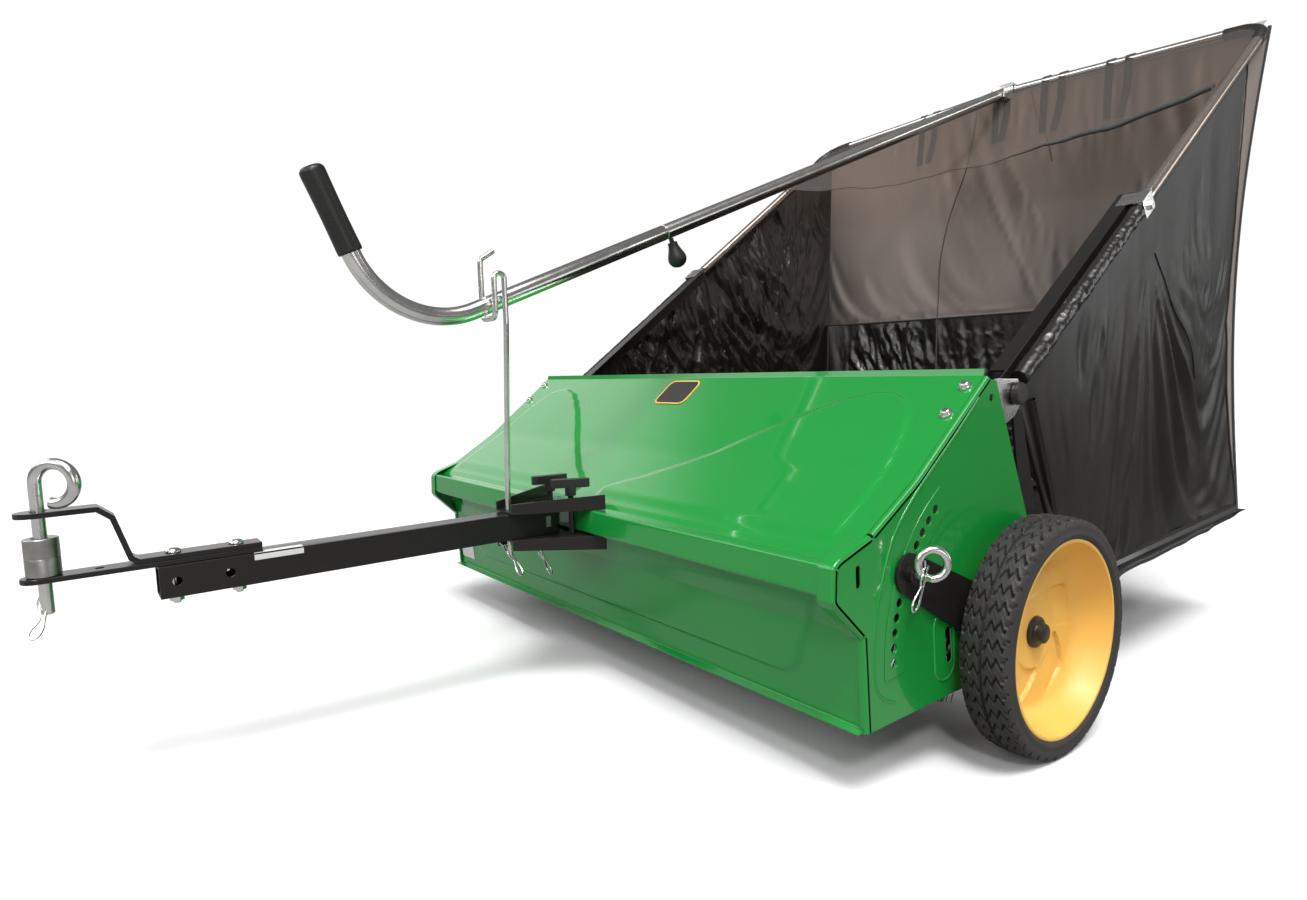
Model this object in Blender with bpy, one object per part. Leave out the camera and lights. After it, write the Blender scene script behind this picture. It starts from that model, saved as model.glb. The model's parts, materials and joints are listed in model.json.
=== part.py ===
"""Tow-behind lawn sweeper: a ground-driven brush in a sheet-metal housing fills a tipping hopper.

Metres, +Z up. The machine is towed towards -Y, and +X is its right side seen along +Y. The origin is on the
ground at the centre of the machine's box. All sizes below are measured from the wheels' axle line (y = 0)
and the ground (z = 0): the chassis frame, which sits AXLE_Y behind the origin.
"""

import math

import bmesh
import bpy
from mathutils import Matrix, Vector

# Driving dimensions, in metres.
AXLE_Y = 0.0547
GAP = 0.0003

WHEEL_RADIUS = 0.1524
TYRE_INNER_X, TYRE_OUTER_X = 0.563, 0.6255
RIM_RADIUS = 0.126
DISC_BACK_X = 0.5745
STUB_AXLE_RADIUS = 0.0095

GEAR_MODULE = 0.002
RING_TEETH, PINION_TEETH = 54, 12
PRESSURE_ANGLE = math.radians(20)
BACKLASH = 0.0005
CENTRE_DISTANCE = GEAR_MODULE * (RING_TEETH - PINION_TEETH) / 2
CENTRE_ANGLE = math.radians(163.2)

BRUSH_Y = CENTRE_DISTANCE * math.cos(CENTRE_ANGLE)
BRUSH_Z = WHEEL_RADIUS + CENTRE_DISTANCE * math.sin(CENTRE_ANGLE)
BRUSH_RADIUS = 0.1397
BRUSH_SECTIONS, BRISTLE_ROWS = 4, 6
BRUSH_HALF_WIDTH = 0.530
SHAFT_RADIUS = 0.006
SHAFT_END_X = 0.5738

PLATE_INNER_X, PLATE_OUTER_X = 0.5447, 0.5463
COVER_HALF_WIDTH = PLATE_INNER_X - GAP
SHEET = 0.0015
BRACKET_X = (0.5475, 0.5515)
PIVOT_BRACKET_X = (0.5400, 0.5425)

HOLE_COUNT, PIN_HOLE = 12, 5
HOLE_PITCH = math.radians(4.75)
FIRST_HOLE_ANGLE = math.radians(130.6)
HOLE_ARC_RADIUS = 0.2085
LOCK_PIN_RADIUS = 0.0045

BEAM_FRONT_Y, SHELF_Z, BEAM_BOTTOM_Z = -0.352, 0.2795, 0.2425
HITCH_DROP = math.radians(2.2)
TUBE_SIZE, TUBE_WALL = 0.038, 0.003
TUBE_TOP_Z = SHELF_Z - GAP
TUBE_REAR_Y, TUBE_FRONT_Y = -0.375, -0.904
HITCH_PIN_Y = -1.008
HITCH_PIN_RADIUS = 0.0065
STRAP_THICKNESS, STRAP_RISE = 0.006, 0.065
STRAP_BOLT_YS = (-0.886, -0.819)
KNOB_X, KNOB_Y = 0.032, -0.3585
REST_ROD_Y = -0.449
REST_ROD_RADIUS = 0.004

PIVOT = Vector((0, 0.0, 0.457))
PIVOT_PIN_RADIUS = 0.006
FRAME_TUBE_RADIUS = 0.0095
FRAME_X = 0.534
FRAME_FRONT = Vector((FRAME_X, 0.030, 0.4835))
FRAME_CORNER = Vector((FRAME_X, 0.884, 1.150))
FRAME_TOP = Vector((0, 0.915, 1.184))
ARM_ANGLE = math.atan2(FRAME_CORNER.z - FRAME_FRONT.z, FRAME_CORNER.y - FRAME_FRONT.y)
ARM_PLATE_X = 0.519
CLAMP_DISTANCE = 0.463

BAG_OUTER_X, BAG_CLOTH = 0.5435, 0.0025
BAG_REAR_Y = 0.8975
BAG_BOTTOM_FRONT, BAG_BOTTOM_SLOPE = (0.150, 0.157), 0.079
SCREEN_FROM_Z = 0.643

HANDLE_RADIUS = 0.0127
HANDLE_SLOPE = 0.4307
HANDLE_JOINT = Vector((0, -0.155, 0.723))
HANDLE_BEND = Vector((0, -0.6172, 0.5239))
HANDLE_BEND_RADIUS = 0.1316
GRIP_DIRECTION = Vector((0, -0.42, 0.907)).normalized()
GRIP_LENGTH, GRIP_RADIUS = 0.108, 0.0165
HANDLE_PIVOT_Y = 0.880

# name: colour, roughness, metallic
FINISHES = {
    "green_paint": ((0.012, 0.235, 0.042), 0.25, 0.0),
    "black_paint": ((0.012, 0.012, 0.013), 0.35, 0.0),
    "zinc": ((0.62, 0.61, 0.58), 0.3, 1.0),
    "steel": ((0.45, 0.44, 0.42), 0.4, 1.0),
    "yellow_plastic": ((0.83, 0.50, 0.10), 0.4, 0.0),
    "tyre_rubber": ((0.02, 0.02, 0.02), 0.75, 0.0),
    "black_plastic": ((0.015, 0.015, 0.015), 0.45, 0.0),
    "nylon": ((0.75, 0.73, 0.68), 0.5, 0.0),
    "bristle": ((0.03, 0.03, 0.03), 0.6, 0.0),
    "vinyl": ((0.018, 0.018, 0.020), 0.45, 0.0),
    "screen_mesh": ((0.10, 0.085, 0.075), 0.7, 0.0),
}
SIDES = (("right", 1), ("left", -1))


# Scene helpers.


def clear_scene():
    for obj in list(bpy.data.objects):
        bpy.data.objects.remove(obj, do_unlink=True)


def finish(name):
    """The material of this finish, made once."""
    if name not in bpy.data.materials:
        colour, roughness, metallic = FINISHES[name]
        made = bpy.data.materials.new(name)
        made.use_nodes = True
        shader = made.node_tree.nodes["Principled BSDF"]
        shader.inputs["Base Color"].default_value = (*colour, 1)
        shader.inputs["Roughness"].default_value = roughness
        shader.inputs["Metallic"].default_value = metallic
    return bpy.data.materials[name]


def add_frame(name, place, parent=None, tilt=0.0):
    """An empty at place, in the chassis frame. Its pieces are made in chassis coordinates."""
    empty = bpy.data.objects.new(name, None)
    bpy.context.scene.collection.objects.link(empty)
    empty["place"] = tuple(place)
    empty.parent = parent
    empty.location = Vector(place) - (Vector(parent["place"]) if parent else Vector())
    empty.rotation_euler = (tilt, 0, 0)
    return empty


def mesh_object(name, shape, frame):
    """A mesh object from a bmesh in chassis coordinates, with its origin at the frame's place."""
    bmesh.ops.translate(shape, vec=-Vector(frame["place"]), verts=shape.verts)
    bmesh.ops.recalc_face_normals(shape, faces=shape.faces)
    mesh = bpy.data.meshes.new(name)
    shape.to_mesh(mesh)
    shape.free()
    obj = bpy.data.objects.new(name, mesh)
    bpy.context.scene.collection.objects.link(obj)
    obj.parent = frame
    return obj


def add_piece(name, shape, finish_name, frame, add=(), cut=(), keep=()):
    """A named piece: shape, united with each of add, less each of cut, kept only inside each of keep."""
    obj = mesh_object(name, shape, frame)
    obj.data.materials.append(finish(finish_name))
    obj.data.shade_smooth()
    obj.data.set_sharp_from_angle(angle=math.radians(35))
    for operation, tools in (("UNION", add), ("DIFFERENCE", cut), ("INTERSECT", keep)):
        for number, tool in enumerate(tools):
            helper = mesh_object(f"{name}_{operation.lower()}_{number}", tool, frame)
            helper.hide_render = True
            helper.display_type = "WIRE"
            modifier = obj.modifiers.new(helper.name, "BOOLEAN")
            modifier.operation = operation
            modifier.object = helper
            modifier.solver = "EXACT"
    return obj


# Shape helpers. Each returns a closed bmesh in chassis coordinates.


def lift(point, level, axis):
    a, b = point
    return {"X": (level, a, b), "Y": (a, level, b), "Z": (a, b, level)}[axis]


def prism(outline, low, high, axis="X", holes=()):
    """An outline with holes in the plane across the axis, extruded from low to high."""
    shape = bmesh.new()
    edges, top_of = [], {}
    for loop in (outline, *holes):
        lower = [shape.verts.new(lift(p, low, axis)) for p in loop]
        upper = [shape.verts.new(lift(p, high, axis)) for p in loop]
        top_of.update(zip(lower, upper))
        for i in range(len(loop)):
            edges.append(shape.edges.new((lower[i - 1], lower[i])))
            shape.faces.new((lower[i - 1], lower[i], upper[i], upper[i - 1]))
    sides = set(shape.faces)
    bmesh.ops.triangle_fill(shape, edges=edges, use_beauty=True)
    for face in [f for f in shape.faces if f not in sides]:
        shape.faces.new([top_of[v] for v in reversed(face.verts)])
    return shape


def box(low, high):
    return prism(
        [(low[1], low[2]), (high[1], low[2]), (high[1], high[2]), (low[1], high[2])],
        low[0],
        high[0],
    )


def circle(centre, radius, segments=16, phase=0.0):
    step = 2 * math.pi / segments
    return [
        (
            centre[0] + radius * math.cos(phase + i * step),
            centre[1] + radius * math.sin(phase + i * step),
        )
        for i in range(segments)
    ]


def slot(centre, angle, length, width, segments=5):
    """A slotted outline: two half circles of this width, end to end over this length."""
    half = (length - width) / 2
    points = []
    for turn, sign in ((0, 1), (math.pi, -1)):
        middle = (
            centre[0] + sign * half * math.cos(angle),
            centre[1] + sign * half * math.sin(angle),
        )
        for i in range(segments + 1):
            a = angle + turn - math.pi / 2 + math.pi * i / segments
            points.append(
                (
                    middle[0] + width / 2 * math.cos(a),
                    middle[1] + width / 2 * math.sin(a),
                )
            )
    return points


def capsule(start, end, start_radius, end_radius, segments=8):
    """The outline round two circles of different radius and the straight lines that join them."""
    dy, dz = end[0] - start[0], end[1] - start[1]
    length = math.hypot(dy, dz)
    heading = math.atan2(dz, dy)
    lean = math.acos((start_radius - end_radius) / length)
    points = []
    for middle, radius, first, last in (
        (end, end_radius, heading - lean, heading + lean),
        (start, start_radius, heading + lean, heading + 2 * math.pi - lean),
    ):
        for i in range(segments + 1):
            a = first + (last - first) * i / segments
            points.append(
                (middle[0] + radius * math.cos(a), middle[1] + radius * math.sin(a))
            )
    return points


def revolve(profile, segments=24, place=None, phase=0.0):
    """A closed profile of (radius, distance along) turned about +X, or about the X axis of place."""
    shape = bmesh.new()
    rings = []
    for radius, along in profile:
        if radius == 0:
            rings.append([shape.verts.new((along, 0, 0))] * segments)
            continue
        rings.append(
            [
                shape.verts.new((along, y, z))
                for y, z in circle((0, 0), radius, segments, phase)
            ]
        )
    for i, ring in enumerate(rings):
        before = rings[i - 1]
        for k in range(segments):
            corners = [before[k - 1], before[k], ring[k], ring[k - 1]]
            distinct = list(dict.fromkeys(corners))
            if len(distinct) > 2:
                shape.faces.new(distinct)
    shape.transform(place or Matrix())
    return shape


def rod(start, end, radius, segments=16, bore=0.0):
    """A straight rod or tube from start to end."""
    start, end = Vector(start), Vector(end)
    length = (end - start).length
    profile = [(bore, 0), (radius, 0), (radius, length), (bore, length)]
    return revolve(profile, segments, place=along(start, end - start))


def along(start, direction):
    """The matrix whose X axis runs from start along direction."""
    return Matrix.Translation(start) @ direction.to_track_quat("X", "Z").to_matrix().to_4x4()


def rounded(points, radii, segments=6):
    """The path through these points, with each inner corner turned into an arc of its radius."""
    points = [Vector(p) for p in points]
    path = [points[0]]
    for before, corner, after, radius in zip(points, points[1:], points[2:], radii):
        back, on = (before - corner).normalized(), (after - corner).normalized()
        half = back.angle(on) / 2
        reach = radius / math.tan(half)
        centre = corner + (back + on).normalized() * radius / math.sin(half)
        first, last = corner + back * reach - centre, corner + on * reach - centre
        axis, turn = first.cross(last), first.angle(last)
        for i in range(segments + 1):
            path.append(centre + Matrix.Rotation(turn * i / segments, 3, axis) @ first)
    return path + [points[-1]]


def sweep(path, radius, sides=12, bore=0.0):
    """A round tube or wire along a path. The radius is a number or one number for each point."""
    path = [Vector(p) for p in path]
    radii = radius if isinstance(radius, (list, tuple)) else [radius] * len(path)
    shape = bmesh.new()
    tangents = []
    for i in range(len(path)):
        before, after = path[max(i - 1, 0)], path[min(i + 1, len(path) - 1)]
        tangents.append((after - before).normalized())
    side = tangents[0].orthogonal().normalized()
    outer, inner = [], []
    for i, (point, tangent) in enumerate(zip(path, tangents)):
        if i:
            side = tangents[i - 1].rotation_difference(tangent) @ side
        other = tangent.cross(side)
        for rings, size in ((outer, radii[i]), (inner, bore)):
            rings.append(
                [
                    shape.verts.new(point + size * (c * side + s * other))
                    for c, s in circle((0, 0), 1, sides)
                ]
                if size
                else []
            )
    for rings in (outer, inner) if bore else (outer,):
        for one, two in zip(rings, rings[1:]):
            for k in range(sides):
                shape.faces.new((one[k - 1], one[k], two[k], two[k - 1]))
    for end in (0, -1):
        if not bore:
            shape.faces.new(outer[end])
            continue
        for k in range(sides):
            shape.faces.new(
                (outer[end][k - 1], outer[end][k], inner[end][k], inner[end][k - 1])
            )
    return shape


def folded_sheet(points, thickness, low, high, axis="X"):
    """A bent sheet: the open line of points is its outer face, and the sheet lies to the line's left."""
    line = [Vector(p) for p in points]
    normals = [Vector((a.y - b.y, b.x - a.x)).normalized() for a, b in zip(line, line[1:])]
    inner = []
    for i, point in enumerate(line):
        one, two = normals[max(i - 1, 0)], normals[min(i, len(normals) - 1)]
        bisector = (one + two).normalized()
        inner.append(point + bisector * thickness / bisector.dot(one))
    outline = [tuple(p) for p in line] + [tuple(p) for p in reversed(inner)]
    return prism(outline, low, high, axis)


def mirrored(shape, sign):
    """The shape itself for +X, or its mirror image for -X."""
    bmesh.ops.scale(shape, vec=(sign, 1, 1), verts=shape.verts)
    return shape


def hole_place(number):
    """The (y, z) of a height hole, counted from the top of the arc."""
    angle = FIRST_HOLE_ANGLE + number * HOLE_PITCH
    return (
        BRUSH_Y + HOLE_ARC_RADIUS * math.cos(angle),
        BRUSH_Z + HOLE_ARC_RADIUS * math.sin(angle),
    )


def arm_line(distance, offset):
    """The (y, z) at a distance from the hopper's pivot along the arm, and an offset square to it."""
    c, s = math.cos(ARM_ANGLE), math.sin(ARM_ANGLE)
    return (PIVOT.y + distance * c - offset * s, PIVOT.z + distance * s + offset * c)


def hair_clip(centre, pin_radius, pin_axis, leg, side, wire=0.0013):
    """A hair clip: a straight leg through the pin's cross hole, a waved leg that springs round the pin."""
    leg, side, centre = Vector(leg).normalized(), Vector(side).normalized(), Vector(centre)
    hug = pin_radius + wire + 3 * GAP
    half = pin_radius / math.sin(leg.angle(Vector(pin_axis))) + 0.002
    flat = [
        (-half - 0.007, 0),
        (0.030, 0),
        (0.038, 0.0035),
        (0.040, 0.0075),
        (0.037, 0.0110),
        (0.030, 0.0115),
        (half + 0.007, 0.0045),
        (half, hug),
        (-half, hug),
        (-half - 0.004, 0.0050),
        (-half - 0.011, 0.0090),
    ]
    return sweep([centre + a * leg + b * side for a, b in flat], wire, sides=6)


def clip_hole(centre, leg, radius=0.0021):
    leg, centre = Vector(leg).normalized(), Vector(centre)
    return rod(centre - leg * 0.03, centre + leg * 0.03, radius, 8)


def looped_pin(shank_start, shank_end, out, up, loop_radius, wire, turn):
    """A pin whose end curls into a round finger loop in the plane of out and up."""
    start, end = Vector(shank_start), Vector(shank_end)
    out, up = Vector(out).normalized(), Vector(up).normalized()
    centre = end + up * loop_radius
    path = [start, end - (end - start).normalized() * 0.006]
    steps = 12
    for i in range(steps + 1):
        a = turn * i / steps
        path.append(centre + loop_radius * (math.sin(a) * out - math.cos(a) * up))
    return sweep(path, wire, sides=10)


# Housing: cover, apron, side plates, brace, bushes and the hopper's pivots.


def build_housing(frame):
    lip_top = (-0.0705, 0.488)
    cover = [
        lip_top,
        (-0.0725, 0.4795),
        (-0.211, 0.3615),
        (-0.290, 0.3085),
        (-0.322, 0.2885),
        (-0.330, SHELF_Z + 0.0002),
        (BEAM_FRONT_Y, SHELF_Z),
        (BEAM_FRONT_Y, BEAM_BOTTOM_Z),
        (-0.322, BEAM_BOTTOM_Z),
    ]
    add_piece(
        "top_cover",
        folded_sheet(cover, SHEET, -COVER_HALF_WIDTH, COVER_HALF_WIDTH),
        "green_paint",
        frame,
    )
    apron = [
        (-0.321, BEAM_BOTTOM_Z + SHEET + GAP),
        (-0.316, 0.236),
        (-0.301, 0.195),
        (-0.289, 0.096),
        (-0.289, 0.085),
        (-0.301, 0.083),
    ]
    add_piece(
        "front_apron",
        folded_sheet(apron, SHEET, -COVER_HALF_WIDTH, COVER_HALF_WIDTH),
        "green_paint",
        frame,
    )
    brace = [(-0.160, 0.3750), (-0.180, 0.3580), (-0.164, 0.3390)]
    add_piece(
        "cross_brace",
        folded_sheet(brace, 0.002, -COVER_HALF_WIDTH, COVER_HALF_WIDTH),
        "green_paint",
        frame,
    )
    for side, sign in SIDES:
        build_side(frame, side, sign)


def build_side(frame, side, sign):
    plate = [
        (-0.0520, 0.4730),
        (0.127, 0.099),
        (0.121, 0.094),
        (-0.126, 0.092),
        (-0.292, 0.0825),
        (-0.303, 0.190),
        (-0.355, 0.236),
        (-0.3555, 0.278),
        (-0.3515, 0.2875),
        (-0.294, 0.3165),
        (-0.213, 0.3665),
        (-0.0735, 0.4850),
        (-0.0600, 0.4850),
    ]
    holes = [circle(hole_place(i), 0.0055, 8) for i in range(HOLE_COUNT)]
    holes.append(circle((BRUSH_Y, BRUSH_Z), 0.0126, 16))
    holes.append(slot((-0.1400, 0.1545), math.radians(98), 0.046, 0.012))
    add_piece(
        f"side_plate_{side}",
        mirrored(prism(plate, PLATE_INNER_X, PLATE_OUTER_X, holes=holes), sign),
        "green_paint",
        frame,
    )
    bush = [
        (0.0065, 0.5385),
        (0.018, 0.5385),
        (0.018, 0.5435),
        (0.0122, 0.5435),
        (0.0122, 0.5535),
        (0.0065, 0.5535),
    ]
    brush_axis = Matrix.Translation((0, BRUSH_Y, BRUSH_Z))
    add_piece(
        f"shaft_bush_{side}",
        mirrored(revolve(bush, 16, brush_axis), sign),
        "nylon",
        frame,
    )
    bracket = [
        (-0.086, 0.432),
        (-0.040, 0.426),
        (-0.0245, 0.421),
        (-0.017, 0.4195),
        (0.0015, 0.428),
        (0.015, 0.443),
        (0.0165, 0.464),
        (0.006, 0.476),
        (-0.046, 0.476),
        (-0.086, 0.450),
    ]
    pin_hole = circle((PIVOT.y, PIVOT.z), PIVOT_PIN_RADIUS + 2 * GAP)
    add_piece(
        f"pivot_bracket_{side}",
        mirrored(prism(bracket, *PIVOT_BRACKET_X, holes=[pin_hole]), sign),
        "zinc",
        frame,
    )
    knob = [
        (0, 0.507),
        (PIVOT_PIN_RADIUS, 0.507),
        (PIVOT_PIN_RADIUS, 0.5430),
        (0.0135, 0.5430),
        (0.0150, 0.5455),
        (0.0150, 0.5505),
        (0.0125, 0.5530),
        (0, 0.5530),
    ]
    add_piece(
        f"pivot_pin_{side}",
        mirrored(revolve(knob, 16, Matrix.Translation(PIVOT)), sign),
        "black_plastic",
        frame,
    )
    strut = [(0.001, 0.438), (0.022, 0.438), (0.070, 0.300), (0.030, 0.300)]
    add_piece(
        f"hinge_strut_{side}",
        mirrored(prism(strut, 0.5360, 0.5395), sign),
        "black_paint",
        frame,
    )


# Wheels, their gears, the height brackets and the brush.


def gear_outline(teeth, tip, root, thinner, phase):
    """Straight-flanked teeth: tip and root are offsets from the pitch circle; one tooth points at phase."""
    pitch = GEAR_MODULE * teeth / 2
    base = pitch * math.cos(PRESSURE_ANGLE)
    half_tooth = (math.pi * GEAR_MODULE / 2 - thinner) / 2 / pitch

    def half_angle(radius):
        if radius <= base:
            return half_angle(base * 1.0001)
        lean = math.acos(base / radius)
        return half_tooth + (
            math.tan(PRESSURE_ANGLE) - PRESSURE_ANGLE - math.tan(lean) + lean
        )

    radii = [pitch + root, pitch + tip]
    points = []
    for i in range(teeth):
        middle = phase + 2 * math.pi * i / teeth
        flank = [(r, -half_angle(r)) for r in radii]
        flank += [(r, half_angle(r)) for r in reversed(radii)]
        points += [(r * math.cos(middle + a), r * math.sin(middle + a)) for r, a in flank]
    return points


def shifted(outline, y, z):
    return [(a + y, b + z) for a, b in outline]


def build_wheel(frame, side, sign):
    axle = Matrix.Translation((0, 0, WHEEL_RADIUS))
    rim = [
        (RIM_RADIUS, 0.5680),
        (RIM_RADIUS, 0.6225),
        (0.1215, 0.6225),
        (0.1175, 0.6020),
        (0.1090, 0.5870),
        (0.0960, 0.5805),
        (0.0300, 0.5795),
        (0.0100, 0.5795),
        (0.0100, 0.5655),
        (0.0180, 0.5655),
        (0.0190, DISC_BACK_X),
        (0.0568, DISC_BACK_X),
        (0.0568, 0.5655),
        (0.0605, 0.5655),
        (0.0610, 0.5755),
        (0.0940, 0.5760),
        (0.1070, 0.5815),
        (0.1225, 0.5930),
        (0.1225, 0.5680),
    ]
    space = gear_outline(RING_TEETH, 0.0018, -0.0012, -BACKLASH, CENTRE_ANGLE)
    ring = prism(
        circle((0, WHEEL_RADIUS), 0.0590, 28),
        0.5660,
        DISC_BACK_X + 0.0010,
        holes=[shifted(space, 0, WHEEL_RADIUS)],
    )
    add_piece(
        f"wheel_rim_{side}",
        mirrored(revolve(rim, 28, axle), sign),
        "yellow_plastic",
        frame,
        add=[mirrored(ring, sign)],
    )
    segments = 36
    across_flats = math.cos(math.pi / segments)
    crown, bead = WHEEL_RADIUS / across_flats, (RIM_RADIUS + GAP) / across_flats
    tyre = [
        (bead, 0.5660),
        (0.1330, TYRE_INNER_X),
        (0.1450, TYRE_INNER_X + 0.0015),
        (crown - 0.0025, TYRE_INNER_X + 0.0060),
        (crown, TYRE_INNER_X + 0.0130),
        (crown, TYRE_OUTER_X - 0.0130),
        (crown - 0.0025, TYRE_OUTER_X - 0.0060),
        (0.1450, TYRE_OUTER_X - 0.0015),
        (0.1330, TYRE_OUTER_X),
        (bead, 0.6228),
    ]
    add_piece(
        f"tyre_{side}",
        mirrored(revolve(tyre, segments, axle, -math.pi / 2 + math.pi / segments), sign),
        "tyre_rubber",
        frame,
    )
    cap = [
        (0.0105, 0.5800),
        (0.0205, 0.5800),
        (0.0200, 0.5850),
        (0.0130, 0.5855),
        (0.0125, 0.5945),
        (0, 0.5945),
        (0, 0.5905),
        (0.0105, 0.5905),
    ]
    add_piece(
        f"hub_cap_{side}",
        mirrored(revolve(cap, 20, axle), sign),
        "black_plastic",
        frame,
    )


def build_wheel_bracket(frame, side, sign):
    """It swings about the brush shaft and carries the wheel's stub axle and the lock pin's boss."""
    brush, axle, pin = (BRUSH_Y, BRUSH_Z), (0, WHEEL_RADIUS), hole_place(PIN_HOLE)
    arm = prism(capsule(brush, pin, 0.036, 0.024), *BRACKET_X)
    add = [
        prism(capsule(brush, axle, 0.034, 0.024), BRACKET_X[0] + 0.0001, BRACKET_X[1] - 0.0001),
        rod((BRACKET_X[0] + 0.0002, 0, WHEEL_RADIUS), (0.5895, 0, WHEEL_RADIUS), STUB_AXLE_RADIUS),
        rod((BRACKET_X[0] + 0.0002, *pin), (0.5590, *pin), 0.0100),
    ]
    cut = [
        rod((0.540, *brush), (0.560, *brush), 0.0127, 16),
        rod((0.540, *pin), (0.565, *pin), 0.0055, 12),
    ]
    add_piece(
        f"wheel_bracket_{side}",
        mirrored(arm, sign),
        "black_paint",
        frame,
        add=[mirrored(s, sign) for s in add],
        cut=[mirrored(s, sign) for s in cut],
    )


def build_lock_pin(frame, side, sign):
    y, z = hole_place(PIN_HOLE)
    tip, bend = (PLATE_OUTER_X + 0.0007, y, z), (0.5800, y, z)
    out = (0.6, 0.8, 0)
    clip_at = (0.5710, y, z)
    pin = looped_pin(tip, bend, out, (0, 0, 1), 0.0163, LOCK_PIN_RADIUS, math.radians(305))
    add_piece(
        f"lock_pin_{side}",
        mirrored(pin, sign),
        "zinc",
        frame,
        cut=[mirrored(clip_hole(clip_at, (0, -0.35, -0.94)), sign)],
    )
    clip = hair_clip(clip_at, LOCK_PIN_RADIUS, (1, 0, 0), (0, -0.35, -0.94), (0, -0.94, 0.35))
    add_piece(f"lock_pin_clip_{side}", mirrored(clip, sign), "zinc", frame)


def build_pinion(frame, side, sign):
    teeth = gear_outline(PINION_TEETH, 0.0012, -0.0022, BACKLASH, CENTRE_ANGLE)
    pinion = prism(
        shifted(teeth, BRUSH_Y, BRUSH_Z),
        0.5665,
        DISC_BACK_X - 0.0010,
        holes=[circle((BRUSH_Y, BRUSH_Z), SHAFT_RADIUS + 2 * GAP)],
    )
    add_piece(f"pinion_{side}", mirrored(pinion, sign), "steel", frame)


def build_brush(frame):
    centre = (BRUSH_Y, BRUSH_Z)
    add_piece(
        "brush_shaft",
        rod((-SHAFT_END_X, *centre), (SHAFT_END_X, *centre), SHAFT_RADIUS),
        "steel",
        frame,
    )
    width = 2 * BRUSH_HALF_WIDTH / BRUSH_SECTIONS
    core_radius, half_row = 0.022, 0.0035
    for number in range(BRUSH_SECTIONS):
        outline = []
        for row in range(BRISTLE_ROWS):
            middle = 2 * math.pi * (row + number / 2) / BRISTLE_ROWS
            for radius, turn in (
                (core_radius, -1),
                (BRUSH_RADIUS, -1),
                (BRUSH_RADIUS, 1),
                (core_radius, 1),
            ):
                a = middle + turn * math.asin(half_row / radius)
                outline.append((radius * math.cos(a), radius * math.sin(a)))
        left = -BRUSH_HALF_WIDTH + number * width + 0.002
        section = prism(
            shifted(outline, *centre),
            left,
            left + width - 0.004,
            holes=[circle(centre, SHAFT_RADIUS + 2 * GAP)],
        )
        add_piece(f"brush_section_{number + 1}", section, "bristle", frame)


# Hitch: brackets clamped on the housing's front beam, draw tube, straps, pin and the handle's rest.


def hitch_bracket(level, flange, sign):
    """A tapered plate at this level. Its side flanges rise (sign +1) or hang (sign -1)."""
    front = Vector((0.025, -0.457))
    rear = Vector((0.088, -0.332))
    steel = 0.003
    plate = [(-front.x, front.y), tuple(front), tuple(rear), (-rear.x, rear.y)]
    holes = [circle((0, REST_ROD_Y), 0.0050, 12)]
    holes += [circle((s * KNOB_X, KNOB_Y), 0.0056, 12) for s in (-1, 1)]
    low, high = sorted((level, level + sign * steel))
    body = prism(plate, low, high, "Z", holes)
    lean = (rear - front).normalized()
    inward = Vector((-lean.y, lean.x)) * steel
    corners = [front, rear, rear + inward, front + inward]
    foot, low_end = 0.0002, flange * 0.68
    rises = (low_end, flange, flange, low_end)
    flanges = []
    for s in (-1, 1):
        walls = bmesh.new()
        lower = [walls.verts.new((s * p.x, p.y, level + sign * foot)) for p in corners]
        upper = [walls.verts.new((s * p.x, p.y, level + sign * h)) for p, h in zip(corners, rises)]
        for i in range(4):
            walls.faces.new((lower[i - 1], lower[i], upper[i], upper[i - 1]))
        walls.faces.new(lower)
        walls.faces.new(upper)
        flanges.append(walls)
    return body, flanges


def build_hitch(frame):
    upper, flanges = hitch_bracket(SHELF_Z + GAP, 0.0225, 1)
    add_piece("hitch_bracket_upper", upper, "black_paint", frame, add=flanges)
    lower, flanges = hitch_bracket(TUBE_TOP_Z - TUBE_SIZE - GAP, 0.0225, -1)
    add_piece("hitch_bracket_lower", lower, "black_paint", frame, add=flanges)

    half, inner = TUBE_SIZE / 2, TUBE_SIZE / 2 - TUBE_WALL
    middle_z = TUBE_TOP_Z - half
    square = [(-half, -half), (half, -half), (half, half), (-half, half)]
    core = [(-inner, -inner), (inner, -inner), (inner, inner), (-inner, inner)]
    tube = prism(
        shifted(square, 0, middle_z), TUBE_FRONT_Y, TUBE_REAR_Y, "Y", [shifted(core, 0, middle_z)]
    )
    cuts = [rod((0, REST_ROD_Y, 0.22), (0, REST_ROD_Y, 0.30), 0.0050, 8)]
    cuts += [rod((0, y, 0.22), (0, y, 0.30), 0.0048, 8) for y in STRAP_BOLT_YS]
    cuts += [rod((-0.03, y, middle_z), (0.03, y, middle_z), 0.0055, 8) for y in (-0.886, -0.830)]
    add_piece("draw_tube", tube, "black_paint", frame, cut=cuts)

    build_straps(frame)
    build_rest_rod(frame)
    for number, y in enumerate(STRAP_BOLT_YS):
        top = TUBE_TOP_Z + 2 * (STRAP_THICKNESS + GAP) + GAP
        below = TUBE_TOP_Z - TUBE_SIZE - GAP
        bolt = [
            (0, below - 0.0100),
            (0.0040, below - 0.0100),
            (0.0040, below - 0.0070),
            (0.0078, below - 0.0070),
            (0.0078, below),
            (0.0040, below),
            (0.0040, top),
            (0.0085, top),
            (0.0085, top + 0.0055),
            (0, top + 0.0055),
        ]
        upright = along(Vector((0, y, 0)), Vector((0, 0, 1)))
        name = ("strap_bolt_front", "strap_bolt_rear")[number]
        add_piece(name, revolve(bolt, 12, upright), "zinc", frame)


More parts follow.
